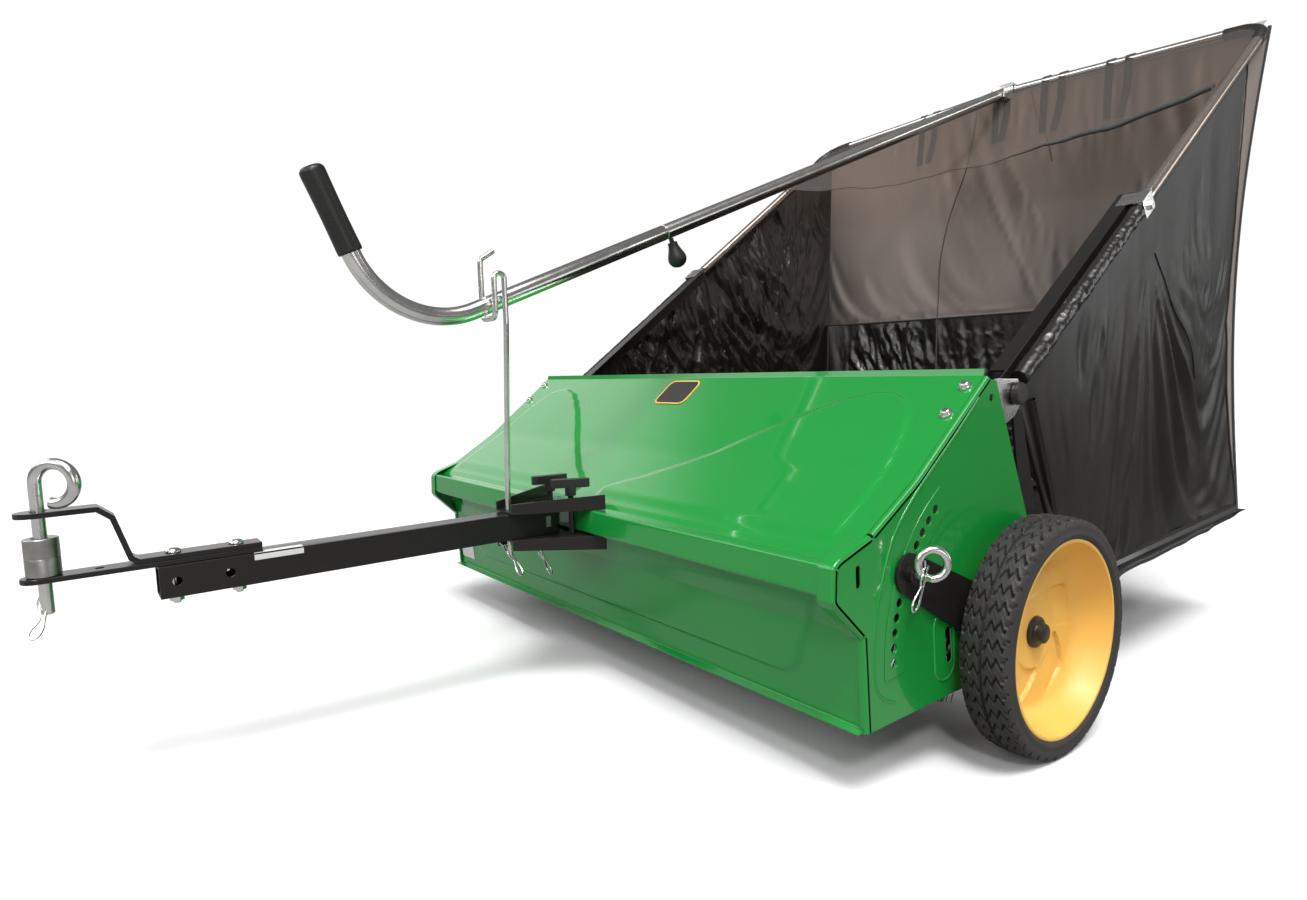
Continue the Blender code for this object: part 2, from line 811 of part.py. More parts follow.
def build_straps(frame):
    half, tip_y, rear_y = 0.016, -1.030, -0.7925
    lower_z = TUBE_TOP_Z + GAP
    upper_z = lower_z + STRAP_THICKNESS + GAP
    plan = [(-half, rear_y), (half, rear_y)]
    for i in range(9):
        a = -math.pi * i / 8
        plan.append((half * math.cos(a), tip_y + half + half * math.sin(a)))
    bolt_holes = [circle((0, y), 0.0048, 12) for y in STRAP_BOLT_YS]
    pin_hole = [circle((0, HITCH_PIN_Y), HITCH_PIN_RADIUS + 0.0010, 16)]
    small_hole = [circle((0, -0.958), 0.0045, 12)]
    lower_holes = bolt_holes + pin_hole + small_hole
    lower = prism(plan, lower_z, lower_z + STRAP_THICKNESS, "Z", lower_holes)
    add_piece("hitch_strap_lower", lower, "black_paint", frame)
    joggle = [
        (rear_y, upper_z),
        (-0.922, upper_z),
        (-0.931, upper_z + 0.006),
        (-0.945, upper_z + STRAP_RISE - 0.010),
        (-0.957, upper_z + STRAP_RISE),
        (tip_y - 0.010, upper_z + STRAP_RISE),
    ]
    keep = prism(plan, lower_z - 0.02, upper_z + 0.12, "Z", bolt_holes + pin_hole)
    add_piece(
        "hitch_strap_upper",
        folded_sheet(joggle, -STRAP_THICKNESS, -half - 0.002, half + 0.002),
        "black_paint",
        frame,
        keep=[keep],
    )
    spacer_z = lower_z + STRAP_THICKNESS + GAP
    spacer = [
        (0.0085, spacer_z),
        (0.0165, spacer_z),
        (0.0165, spacer_z + 0.042),
        (0.0085, spacer_z + 0.042),
    ]
    upright = along(Vector((0, HITCH_PIN_Y, 0)), Vector((0, 0, 1)))
    add_piece("hitch_spacer", revolve(spacer, 24, upright), "steel", frame)


def build_hitch_pin(frame):
    strap_top = TUBE_TOP_Z + 2 * (GAP + STRAP_THICKNESS) + STRAP_RISE
    low = (0, HITCH_PIN_Y, TUBE_TOP_Z - 0.036)
    out, loop_radius, steps = Vector((0.6, 0.8, 0)), 0.0215, 12
    centre = Vector((0, HITCH_PIN_Y, strap_top + 0.0300)) + loop_radius * out
    path = [Vector(low), Vector((0, HITCH_PIN_Y, strap_top + 0.010))]
    for i in range(steps + 1):
        a = math.radians(285) * i / steps
        path.append(centre + loop_radius * (math.sin(a) * Vector((0, 0, 1)) - math.cos(a) * out))
    clip_at = (0, HITCH_PIN_Y, TUBE_TOP_Z - 0.026)
    leg = (0.66, -0.20, -0.72)
    add_piece(
        "hitch_pin",
        sweep(path, HITCH_PIN_RADIUS, sides=10),
        "zinc",
        frame,
        cut=[clip_hole(clip_at, leg, 0.0024)],
    )
    clip = hair_clip(clip_at, HITCH_PIN_RADIUS, (0, 0, 1), leg, (-0.29, -0.957, 0))
    add_piece("hitch_pin_clip", clip, "zinc", frame)


def build_rest_rod(frame):
    """The rod that stands in the draw tube and ends in an open hook round the handle."""
    y, x, hook_y, trough_z = REST_ROD_Y, 0.0198, REST_ROD_Y - 0.016, 0.5700
    points = [
        (0, y, 0.2130),
        (0, y, 0.305),
        (x, y, 0.5600),
        (x, y, 0.6320),
        (x, hook_y, 0.6320),
        (x, hook_y, trough_z),
        (-0.0190, hook_y, trough_z),
        (-0.0190, hook_y, 0.6560),
        (-0.0190, y + 0.006, 0.6700),
    ]
    path = rounded(points, (0.05, 0.05, 0.007, 0.007, 0.010, 0.010, 0.008), segments=3)
    clip_at = (0, y, 0.2185)
    leg = (0.60, 0.25, -0.76)
    add_piece(
        "handle_rest_rod",
        sweep(path, REST_ROD_RADIUS, sides=8),
        "zinc",
        frame,
        cut=[clip_hole(clip_at, leg)],
    )
    clip = hair_clip(clip_at, REST_ROD_RADIUS, (0, 0, 1), leg, (0.385, -0.923, 0))
    add_piece("rest_rod_clip", clip, "zinc", frame)


def build_clamp_knob(frame, side, sign):
    """A T-handled bolt that clamps the two hitch brackets on the housing's beam."""
    x, y = sign * KNOB_X, KNOB_Y
    bar_z, hub_z = 0.3110, 0.2985
    turn = math.radians(62 if sign > 0 else 82)
    bar = prism(slot((x, y), turn, 0.060, 0.015), bar_z, bar_z + 0.013, "Z")
    hub = rod((x, y, hub_z), (x, y, bar_z + 0.004), 0.0085)
    bolt = rod((x, y, 0.2160), (x, y, bar_z + 0.003), 0.0045, 12)
    nut_top = TUBE_TOP_Z - TUBE_SIZE - 0.0040
    nut = prism(circle((x, y), 0.0085, 6), nut_top - 0.0070, nut_top, "Z")
    add_piece(f"clamp_knob_{side}", bar, "black_plastic", frame, add=[hub, bolt, nut])


# Hopper: tube frames, arms, clamps and the bag with its screens.


def build_hopper(frame):
    left_of = Vector((-1, 1, 1))
    path = rounded(
        [FRAME_FRONT, FRAME_CORNER, FRAME_TOP, FRAME_CORNER * left_of, FRAME_FRONT * left_of],
        (0.060, 0.60, 0.060),
        segments=3,
    )
    swivel_hole = rod((0, FRAME_TOP.y, 1.15), (0, FRAME_TOP.y, 1.22), 0.0036, 12)
    add_piece(
        "hopper_upper_frame",
        sweep(path, FRAME_TUBE_RADIUS, sides=10, bore=0.0080),
        "zinc",
        frame,
        cut=[swivel_hole],
    )
    x, rear_y = 0.530, BAG_REAR_Y - BAG_CLOTH - FRAME_TUBE_RADIUS - 0.001
    rise = 0.0137
    front_z = BAG_BOTTOM_FRONT[1] + 0.016 * BAG_BOTTOM_SLOPE + rise
    rear_z = BAG_BOTTOM_FRONT[1] + (rear_y - BAG_BOTTOM_FRONT[0]) * BAG_BOTTOM_SLOPE + rise
    half = [(x, 0.058, 0.448), (x, 0.122, 0.312), (x, 0.166, front_z), (x, rear_y, rear_z)]
    points = half + [(-a, b, c) for a, b, c in reversed(half)]
    path = rounded(points, (0.10, 0.035, 0.035, 0.035, 0.035, 0.10), segments=2)
    tube = sweep(path, FRAME_TUBE_RADIUS, sides=8, bore=0.0080)
    add_piece("hopper_lower_frame", tube, "black_paint", frame)
    for side, sign in SIDES:
        build_arm(frame, side, sign)
    build_bag(frame)


def build_arm(frame, side, sign):
    """A steel angle from the pivot to the clamp: its plate stands beside the frame tube, flange inward."""
    foot, reach, half, steel = -0.016, CLAMP_DISTANCE + 0.025, 0.015, 0.003

    def strip(start, low):
        corners = ((start, low), (reach, low), (reach, half), (start, half))
        return [arm_line(a, b) for a, b in corners]

    plate, lip = strip(foot, -half), strip(0.030, half - steel)
    bolt = arm_line(CLAMP_DISTANCE, 0)
    cuts = [
        rod((0.50, PIVOT.y, PIVOT.z), (0.54, PIVOT.y, PIVOT.z), PIVOT_PIN_RADIUS + 2 * GAP),
        rod((0.50, *bolt), (0.54, *bolt), 0.0045, 12),
    ]
    add_piece(
        f"hopper_arm_{side}",
        mirrored(prism(plate, ARM_PLATE_X, ARM_PLATE_X + steel), sign),
        "black_paint",
        frame,
        add=[mirrored(prism(lip, ARM_PLATE_X - 0.022, ARM_PLATE_X + steel - 0.0001), sign)],
        cut=[mirrored(s, sign) for s in cuts],
    )
    outer_x, over = FRAME_X + FRAME_TUBE_RADIUS + 0.0010, FRAME_TUBE_RADIUS + 0.0080
    middle = CLAMP_DISTANCE
    cheek = [
        arm_line(middle + a, b)
        for a, b in ((-0.018, -0.012), (0.018, -0.012), (0.018, over), (-0.018, over))
    ]
    cap = [
        arm_line(middle + a, over + b)
        for a, b in ((-0.0175, -0.0021), (0.0175, -0.0021), (0.0175, -0.0002), (-0.0175, -0.0002))
    ]
    clamp = prism(cheek, outer_x, outer_x + 0.0025)
    add = [
        prism(cap, ARM_PLATE_X - 0.012, outer_x + 0.0024),
        rod((outer_x + 0.0010, *bolt), (outer_x + 0.0080, *bolt), 0.0065, 6),
    ]
    add_piece(
        f"arm_clamp_{side}",
        mirrored(clamp, sign),
        "zinc",
        frame,
        add=[mirrored(s, sign) for s in add],
    )


def bag_side_outline(inset=0.0, overrun=0.0):
    """The bag's side in (y, z). The inner form is inset at bottom and rear and overruns the open edges."""
    below_tube = 0.0115 / math.cos(ARM_ANGLE)
    slope = math.tan(ARM_ANGLE)
    front_y, front_z = BAG_BOTTOM_FRONT
    rear_y = BAG_REAR_Y - inset

    def bottom(y):
        return front_z + (y - front_y) * BAG_BOTTOM_SLOPE + inset

    def top(y):
        line = FRAME_FRONT.z + (y - FRAME_FRONT.y) * slope
        return line + (overrun or -below_tube)

    if overrun:
        return [
            (-0.20, bottom(-0.20)),
            (rear_y, bottom(rear_y)),
            (rear_y, top(rear_y) + overrun),
            (-0.20, top(-0.20) + 0.5),
        ]
    return [
        (front_y, front_z),
        (rear_y, bottom(rear_y)),
        (rear_y, top(rear_y)),
        (0.046, top(0.046)),
        (0.080, 0.419),
        (0.113, 0.312),
    ]


def build_bag(frame):
    inner_x = BAG_OUTER_X - BAG_CLOTH
    hollow = prism(bag_side_outline(BAG_CLOTH, 0.2), -inner_x, inner_x)
    above = box((-inner_x, 0.80, SCREEN_FROM_Z), (inner_x, 1.00, 1.40))
    add_piece(
        "bag_body",
        prism(bag_side_outline(), -BAG_OUTER_X, BAG_OUTER_X),
        "vinyl",
        frame,
        cut=[hollow, above],
    )
    half, low = inner_x - 0.0006, SCREEN_FROM_Z + 0.0004
    outline = [(-half, low), (half, low), (half, 1.126), (0.40, 1.140), (0.05, 1.160)]
    outline += [(0.03, 1.150), (-0.03, 1.150), (-0.05, 1.160), (-0.40, 1.140), (-half, 1.126)]
    add_piece(
        "bag_rear_screen",
        prism(outline, BAG_REAR_Y - 0.0022, BAG_REAR_Y - 0.0002, "Y"),
        "screen_mesh",
        frame,
    )
    slope = math.tan(ARM_ANGLE)
    ends = [(y, FRAME_FRONT.z + (y - FRAME_FRONT.y) * slope - 0.002) for y in (0.832, 0.672)]
    add_piece(
        "bag_top_screen",
        folded_sheet(ends, 0.002, -0.522, 0.522),
        "screen_mesh",
        frame,
    )


# Dump handle.


def handle_point(y):
    return Vector((0, y, HANDLE_JOINT.z + (y - HANDLE_JOINT.y) * HANDLE_SLOPE))


def build_pivot_bracket(frame):
    """Two ears for the handle's pin, and a fork on the top tube that lets the handle swing sideways."""
    pin = handle_point(HANDLE_PIVOT_Y)
    top_z, under_z = FRAME_TOP.z + 0.0115, FRAME_TOP.z - 0.0120
    low_z, front_y, rear_y = pin.z - 0.0130, 0.8650, 0.9020
    ear = [(front_y, low_z), (rear_y, low_z), (rear_y, top_z + 0.0025), (front_y, pin.z + 0.013)]
    ears = [prism(ear, s * 0.0145, s * 0.0170) for s in (-1, 1)]
    web = box((-0.0170, rear_y - 0.0025, low_z), (0.0170, rear_y, top_z + 0.0024))
    tabs = [
        box((-0.0150, 0.9000, top_z), (0.0150, 0.9230, top_z + 0.0025)),
        box((-0.0150, 0.9000, under_z - 0.0025), (0.0150, 0.9230, under_z)),
    ]
    kingpin = rod((0, FRAME_TOP.y, under_z - 0.0020), (0, FRAME_TOP.y, top_z + 0.0060), 0.0030, 12)
    cross_pin = rod((-0.0190, pin.y, pin.z), (0.0190, pin.y, pin.z), 0.0040, 12)
    add_piece(
        "handle_pivot_bracket",
        ears[0],
        "zinc",
        frame,
        add=[web, ears[1], *tabs, kingpin, cross_pin],
    )


def build_handle(frame):
    joint_y = HANDLE_JOINT.y
    pin = handle_point(HANDLE_PIVOT_Y)
    cross_hole = rod((-0.02, pin.y, pin.z), (0.02, pin.y, pin.z), 0.0046, 12)
    add_piece(
        "handle_rear_tube",
        sweep([handle_point(joint_y + 0.0025), handle_point(0.8920)], HANDLE_RADIUS, bore=0.0111),
        "zinc",
        frame,
        cut=[cross_hole],
    )
    grip_top = HANDLE_BEND + GRIP_DIRECTION * (0.128 + GRIP_LENGTH)
    spigot_end, shoulder = handle_point(joint_y + 0.050), handle_point(joint_y)
    path = rounded([grip_top, HANDLE_BEND, shoulder], (HANDLE_BEND_RADIUS,), segments=8)
    radii = [HANDLE_RADIUS] * len(path)
    path += [handle_point(joint_y + 0.002), spigot_end]
    radii += [0.0104, 0.0104]
    add_piece(
        "handle_front_tube",
        sweep(path, radii, bore=0.0090),
        "zinc",
        frame,
    )
    grip_bottom = grip_top - GRIP_DIRECTION * GRIP_LENGTH
    length = GRIP_LENGTH + 0.006
    grip = [
        (HANDLE_RADIUS + GAP, 0),
        (GRIP_RADIUS - 0.001, 0),
        (GRIP_RADIUS, 0.004),
        (GRIP_RADIUS, length - 0.008),
        (GRIP_RADIUS - 0.004, length),
        (0, length),
        (0, GRIP_LENGTH + GAP),
        (HANDLE_RADIUS + GAP, GRIP_LENGTH + GAP),
    ]
    add_piece(
        "handle_grip",
        revolve(grip, 20, along(grip_bottom, GRIP_DIRECTION)),
        "black_plastic",
        frame,
    )


def build_handle_knob(frame):
    """A tapered ball knob under the tube, whose screw locks the two handle tubes together."""
    place, down = handle_knob_axis()
    profile = [
        (0, HANDLE_RADIUS + GAP),
        (0.0040, HANDLE_RADIUS + GAP),
        (0.0040, 0.0200),
        (0.0080, 0.0205),
        (0.0110, 0.0330),
        (0.0155, 0.0450),
        (0.0160, 0.0520),
        (0.0120, 0.0610),
        (0, 0.0640),
    ]
    add_piece("handle_knob", revolve(profile, 16, along(place, down)), "black_plastic", frame)


def handle_knob_axis():
    place = handle_point(HANDLE_JOINT.y + 0.012)
    return place, Vector((0, HANDLE_SLOPE, -1)).normalized()


def build():
    clear_scene()
    chassis = add_frame("chassis", (0, 0, 0))
    chassis.location = (0, AXLE_Y, 0)
    build_housing(chassis)

    hitch = add_frame("hitch_frame", (0, BEAM_FRONT_Y, SHELF_Z), chassis, HITCH_DROP)
    build_hitch(hitch)
    build_hitch_pin(add_frame("hitch_pin_axis", (0, HITCH_PIN_Y, SHELF_Z), hitch))

    brush_place = (0, BRUSH_Y, BRUSH_Z)
    build_brush(add_frame("brush_axis", brush_place, chassis))
    for side, sign in SIDES:
        knob_place = (sign * KNOB_X, KNOB_Y, SHELF_Z)
        build_clamp_knob(add_frame(f"clamp_knob_{side}_axis", knob_place, hitch), side, sign)
        height = add_frame(f"height_{side}_axis", brush_place, chassis)
        build_wheel_bracket(height, side, sign)
        build_pinion(add_frame(f"pinion_{side}_axis", brush_place, height), side, sign)
        build_wheel(add_frame(f"wheel_{side}_axis", (0, 0, WHEEL_RADIUS), height), side, sign)
        pin_place = (sign * PLATE_OUTER_X, *hole_place(PIN_HOLE))
        build_lock_pin(add_frame(f"lock_pin_{side}_axis", pin_place, height), side, sign)

    hopper = add_frame("hopper_axis", PIVOT, chassis)
    build_hopper(hopper)
    swivel = add_frame("handle_swivel_axis", FRAME_TOP, hopper)
    build_pivot_bracket(swivel)
    handle = add_frame("handle_axis", handle_point(HANDLE_PIVOT_Y), swivel)
    build_handle(handle)
    build_handle_knob(add_frame("handle_knob_axis", handle_knob_axis()[0], handle))


build()
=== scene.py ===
"""Looks for the tow-behind lawn sweeper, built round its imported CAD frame.

Metres, +Z up. Shapes are written from the wheels' axle line (y = 0) and the ground (z = 0), like the CAD.
ON_AXLE puts them in the frame. Hitch shapes are written level and take the hitch's slope from ON_HITCH.
"""

import json
import math

import bmesh
import bpy
import numpy as np
from mathutils import Matrix, Vector, noise


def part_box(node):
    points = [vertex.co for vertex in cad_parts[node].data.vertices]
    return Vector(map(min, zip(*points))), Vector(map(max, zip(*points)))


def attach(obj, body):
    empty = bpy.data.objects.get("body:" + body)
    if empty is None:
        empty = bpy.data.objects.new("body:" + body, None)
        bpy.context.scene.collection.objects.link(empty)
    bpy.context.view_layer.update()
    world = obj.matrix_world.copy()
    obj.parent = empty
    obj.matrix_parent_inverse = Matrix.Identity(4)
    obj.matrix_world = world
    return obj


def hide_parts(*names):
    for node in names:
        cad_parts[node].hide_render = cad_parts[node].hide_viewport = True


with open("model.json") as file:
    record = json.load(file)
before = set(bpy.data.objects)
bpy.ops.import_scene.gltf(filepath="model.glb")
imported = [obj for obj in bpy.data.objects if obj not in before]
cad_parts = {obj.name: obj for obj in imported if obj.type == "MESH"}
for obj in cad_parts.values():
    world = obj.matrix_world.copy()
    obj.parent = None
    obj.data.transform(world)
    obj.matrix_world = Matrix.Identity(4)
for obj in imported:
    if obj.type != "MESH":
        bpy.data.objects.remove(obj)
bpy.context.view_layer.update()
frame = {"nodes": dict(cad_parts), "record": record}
NODES = frame["nodes"]
SIDES = (("right", 1), ("left", -1))

TYRE_LOW, TYRE_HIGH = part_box("tyre_right")
AXLE_Y = (TYRE_LOW.y + TYRE_HIGH.y) / 2
AXLE_Z = (TYRE_LOW.z + TYRE_HIGH.z) / 2
WHEEL_RADIUS = (TYRE_HIGH.z - TYRE_LOW.z) / 2
ON_AXLE = Matrix.Translation((0, AXLE_Y, 0))

BEAM_FRONT_Y, SHELF_Z, BEAM_BOTTOM_Z = -0.352, 0.2795, 0.2425
HITCH_DROP = math.radians(2.2)
HITCH_HINGE = Matrix.Translation((0, BEAM_FRONT_Y, SHELF_Z))
ON_HITCH = ON_AXLE @ HITCH_HINGE @ Matrix.Rotation(HITCH_DROP, 4, "X") @ HITCH_HINGE.inverted()

BRUSH_Y, BRUSH_Z = -0.040207, 0.164539
BRUSH_RADIUS = 0.1397
HOLE_ARC_RADIUS = 0.2085
PLATE_INNER_X, PLATE_OUTER_X = 0.5447, 0.5463
FRAME_X, FRAME_RADIUS = 0.534, 0.0095
FRAME_FRONT = Vector((FRAME_X, 0.030, 0.4835))
FRAME_CORNER = Vector((FRAME_X, 0.884, 1.150))
FRAME_TOP = Vector((0, 0.915, 1.184))
BAG_X, BAG_WALL_X, BAG_WALL_Y = 0.5435, 0.5390, 0.8935
BAG_FRONT_Y, HEM_FRONT_Y, HEM_REAR_Z = 0.0175, 0.174, 0.226
SCREEN_FROM_Z = 0.643
CROSS_TUBE_Y, CROSS_TUBE_Z, CROSS_TUBE_DROP = 0.915, 1.184, 0.034
SHEET = 0.0015
SHARP = 35


# Materials.


class Nodes:
    """The node tree of a material or a world, with short calls for adding and joining nodes."""

    def __init__(self, owner, place="Object"):
        owner.use_nodes = True
        self.owner = owner
        self.tree = owner.node_tree
        self.shader = self.tree.nodes.get("Principled BSDF")
        self.place = self.add("ShaderNodeTexCoord").outputs[place]

    def add(self, kind, settings=None, **inputs):
        node = self.tree.nodes.new(kind)
        for key, value in (settings or {}).items():
            setattr(node, key, value)
        for key, value in inputs.items():
            self.feed(node.inputs[key.replace("_", " ")], value)
        return node

    def feed(self, socket, value):
        """Joins another socket to this one, or sets its number, vector or red, green and blue."""
        if isinstance(value, bpy.types.NodeSocket):
            self.tree.links.new(value, socket)
        else:
            socket.default_value = (*value, 1.0) if socket.type == "RGBA" else value

    def set(self, **inputs):
        for key, value in inputs.items():
            self.feed(self.shader.inputs[key.replace("_", " ")], value)

    def vectors(self, operation, one, two):
        made = self.add("ShaderNodeVectorMath", {"operation": operation})
        self.feed(made.inputs[0], one)
        self.feed(made.inputs[1], two)
        return made.outputs["Value" if operation == "DOT_PRODUCT" else "Vector"]

    def noise(self, scale, detail=3.0, roughness=0.55, stretch=(1, 1, 1)):
        made = self.add("ShaderNodeTexNoise", Scale=scale, Detail=detail, Roughness=roughness)
        self.feed(made.inputs["Vector"], self.vectors("MULTIPLY", self.place, stretch))
        return made.outputs["Fac"]

    def span(self, value, low, high, from_low=0.0, from_high=1.0, curve="LINEAR"):
        made = self.add("ShaderNodeMapRange", {"interpolation_type": curve})
        for socket, number in zip(made.inputs[:5], (value, from_low, from_high, low, high)):
            self.feed(socket, number)
        return made.outputs["Result"]

    def math(self, operation, one, two=0.0):
        made = self.add("ShaderNodeMath", {"operation": operation})
        self.feed(made.inputs[0], one)
        self.feed(made.inputs[1], two)
        return made.outputs["Value"]

    def mix(self, factor, one, two):
        made = self.add("ShaderNodeMix", {"data_type": "RGBA"})
        for socket, value in zip((made.inputs[0], made.inputs[6], made.inputs[7]), (factor, one, two)):
            self.feed(socket, value)
        return made.outputs[2]

    def bump(self, height, distance, strength=1.0, after=None):
        made = self.add("ShaderNodeBump", Height=height, Distance=distance, Strength=strength)
        if after is not None:
            self.feed(made.inputs["Normal"], after)
        return made.outputs["Normal"]

    def show(self, share, one, two):
        """Ends the tree with two shaders, the second one to this share."""
        both = self.add("ShaderNodeMixShader")
        for socket, value in zip(both.inputs, (share, one.outputs[0], two.outputs[0])):
            self.feed(socket, value)
        end = next(node for node in self.tree.nodes if node.type.startswith("OUTPUT"))
        self.feed(end.inputs["Surface"], both.outputs["Shader"])


def new_look(name):
    return Nodes(bpy.data.materials.new(name))

def paint(name, colour, deep, rough, coat, peel):
    """Baked enamel or powder coat: faint mottling, orange peel and a clear top coat."""
    n = new_look(name)
    n.set(
        Base_Color=n.mix(n.noise(6.0), colour, deep),
        Roughness=n.span(n.noise(35.0, 4.0), rough * 0.85, rough * 1.25),
        Coat_Weight=coat,
        Coat_Roughness=0.06,
        Specular_IOR_Level=0.25,
        Normal=n.bump(n.noise(420.0, 2.0), peel),
    )
    return n.owner


def metal(name, light, dark, rough, streak=(1, 1, 1)):
    """Plated steel: cloudy colour, rubbed roughness and fine drawing marks."""
    n = new_look(name)
    cloud = n.noise(28.0, 5.0, 0.6)
    marks = n.noise(260.0, 3.0, 0.6, streak)
    n.set(
        Metallic=1.0,
        Base_Color=n.mix(n.span(cloud, 0, 1, 0.35, 0.65), dark, light),
        Roughness=n.span(marks, rough * 0.75, rough * 1.4),
        Normal=n.bump(marks, 0.00008),
    )
    return n.owner


def moulded(name, light, dark, rough, grain, depth, subsurface=0.0):
    """Moulded plastic or rubber with a fine grain."""
    n = new_look(name)
    n.set(
        Base_Color=n.mix(n.span(n.noise(14.0, 4.0), 0, 1, 0.3, 0.7), light, dark),
        Roughness=n.span(n.noise(60.0, 3.0), rough * 0.85, rough * 1.15),
        Subsurface_Weight=subsurface,
        Subsurface_Radius=(0.004, 0.003, 0.002),
        Normal=n.bump(n.noise(grain, 2.0), depth),
    )
    return n.owner


def weave(n, pitch):
    """A plain weave's height in the plane of the cloth, whichever way the cloth faces."""
    split = n.add("ShaderNodeSeparateXYZ")
    n.feed(split.inputs[0], n.place)
    turn = 2 * math.pi / pitch
    across = n.math("ADD", split.outputs["X"], split.outputs["Y"])
    one = n.math("SINE", n.math("MULTIPLY", across, turn))
    two = n.math("SINE", n.math("MULTIPLY", split.outputs["Z"], turn))
    return n.math("MULTIPLY", one, two)


def vinyl(name, rough, shine):
    """Coated cloth: a fine weave under a soft black skin with satin streaks and small creases. The streaks
    vary the roughness, and the colour is painted a little lighter along them as painted sheen.
    """
    n = new_look(name)
    crease = n.noise(34.0, 5.0, 0.62, (1, 1, 0.5))
    sheen_streaks = n.noise(7.0, 4.0, 0.6, (1, 1, 0.35))
    n.set(
        # The lighter colour along the streaks is painted sheen; the same streaks also vary the roughness.
        Base_Color=n.mix(n.span(sheen_streaks, 0, 1, 0.35, 0.7), (0.0090, 0.0080, 0.0068), (0.0190, 0.0168, 0.0140)),
        Roughness=n.span(sheen_streaks, rough, rough * 1.6, 0.3, 0.7),
        Specular_IOR_Level=shine,
        Normal=n.bump(weave(n, 0.0026), 0.00010, 0.5, n.bump(crease, 0.0012, 0.5)),
    )
    return n.owner


def screen(name, dark, light, square, slanted):
    """Woven screen. Seen at a slant, its threads are painted lighter, a painted sheen of lit threads, and
    they cover another share of it.
    """
    n = new_look(name)
    facing = n.add("ShaderNodeLayerWeight", Blend=0.35).outputs["Facing"]
    threads = n.mix(n.noise(9.0, 4.0), dark, tuple(1.3 * level for level in dark))
    n.set(
        # Towards a slant the colour turns to the lighter one: painted sheen of lit threads.
        Base_Color=n.mix(n.span(facing, 0, 1, 0.035, 0.20), threads, light),
        Roughness=0.55,
        Specular_IOR_Level=0.3,
        Normal=n.bump(weave(n, 0.0022), 0.00012, 0.5),
    )
    clear = n.add("ShaderNodeBsdfTransparent", Color=(1.0, 0.92, 0.87))
    n.show(n.span(facing, square, slanted, 0.04, 0.18), clear, n.shader)
    return n.owner


def webbing(name):
    n = new_look(name)
    n.set(
        Base_Color=n.mix(n.noise(90.0), (0.010, 0.010, 0.010), (0.022, 0.021, 0.020)),
        Roughness=0.72,
        Sheen_Weight=0.3,
        Normal=n.bump(weave(n, 0.0018), 0.0004),
    )
    return n.owner


LOOK_RECIPES = {
    "green_paint": (paint, (0.009, 0.298, 0.043), (0.008, 0.270, 0.039), 0.20, 1.0, 0.00003),
    "black_paint": (paint, (0.012, 0.011, 0.010), (0.017, 0.015, 0.014), 0.30, 0.25, 0.00008),
    "zinc": (metal, (0.92, 0.91, 0.88), (0.74, 0.73, 0.71), 0.20),
    "steel": (metal, (0.50, 0.48, 0.46), (0.33, 0.32, 0.31), 0.34, (1, 1, 12)),
    "yellow_plastic": (moulded, (0.95, 0.555, 0.120), (0.90, 0.520, 0.108), 0.40, 900.0, 0.00006, 0.04),
    "tyre_rubber": (moulded, (0.030, 0.028, 0.026), (0.042, 0.039, 0.036), 0.58, 700.0, 0.00012),
    "black_plastic": (moulded, (0.014, 0.013, 0.012), (0.022, 0.020, 0.019), 0.38, 800.0, 0.00006),
    "nylon": (moulded, (0.74, 0.72, 0.66), (0.66, 0.64, 0.58), 0.5, 500.0, 0.00005, 0.1),
    "bristle": (moulded, (0.020, 0.020, 0.021), (0.035, 0.034, 0.034), 0.5, 300.0, 0.0001),
    "vinyl": (vinyl, 0.27, 0.45),
    "vinyl_gloss": (vinyl, 0.17, 1.0),
    # Each screen's second colour is its painted sheen at a slant.
    "screen_mesh": (screen, (0.020, 0.016, 0.013), (0.46, 0.408, 0.376), 0.90, 0.62),
    # screen_thin's colours are set lighter as painted light through the cloth, because the top screen is seen
    # from its unlit underside.
    "screen_thin": (screen, (0.060, 0.056, 0.053), (0.15, 0.141, 0.134), 0.22, 0.30),
    "webbing": (webbing,),
    "cord": (moulded, (0.150, 0.118, 0.100), (0.085, 0.068, 0.058), 0.6, 500.0, 0.0003),
    "label": (moulded, (0.80, 0.80, 0.78), (0.74, 0.74, 0.72), 0.4, 200.0, 0.00003),
}
LOOKS = {name: make(name, *values) for name, (make, *values) in LOOK_RECIPES.items()}


# Shape helpers, in axle-line coordinates.


def circle(centre, radius, segments, phase=0.0):
    turns = [phase + 2 * math.pi * i / segments for i in range(segments)]
    return [(centre[0] + radius * math.cos(a), centre[1] + radius * math.sin(a)) for a in turns]


def lift(point, level, axis):
    a, b = point
    return {"X": (level, a, b), "Y": (a, level, b), "Z": (a, b, level)}[axis]


def prism(outline, low, high, axis="X", holes=()):
    """An outline with holes in the plane across the axis, extruded from low to high."""
    shape = bmesh.new()
    edges, top_of = [], {}
    for loop in (outline, *holes):
        lower = [shape.verts.new(lift(p, low, axis)) for p in loop]
        upper = [shape.verts.new(lift(p, high, axis)) for p in loop]
        top_of.update(zip(lower, upper))
        for i in range(len(loop)):
            edges.append(shape.edges.new((lower[i - 1], lower[i])))
            shape.faces.new((lower[i - 1], lower[i], upper[i], upper[i - 1]))
    sides = set(shape.faces)
    bmesh.ops.triangle_fill(shape, edges=edges, use_beauty=True)
    for face in [f for f in shape.faces if f not in sides]:
        shape.faces.new([top_of[v] for v in reversed(face.verts)])
    return shape


def bridge(shape, one, two):
    """Faces between two rings of as many vertices. Where a ring is one repeated point, they are triangles."""
    for k in range(len(one)):
        corners = list(dict.fromkeys([one[k - 1], one[k], two[k], two[k - 1]]))
        if len(corners) > 2:
            shape.faces.new(corners)


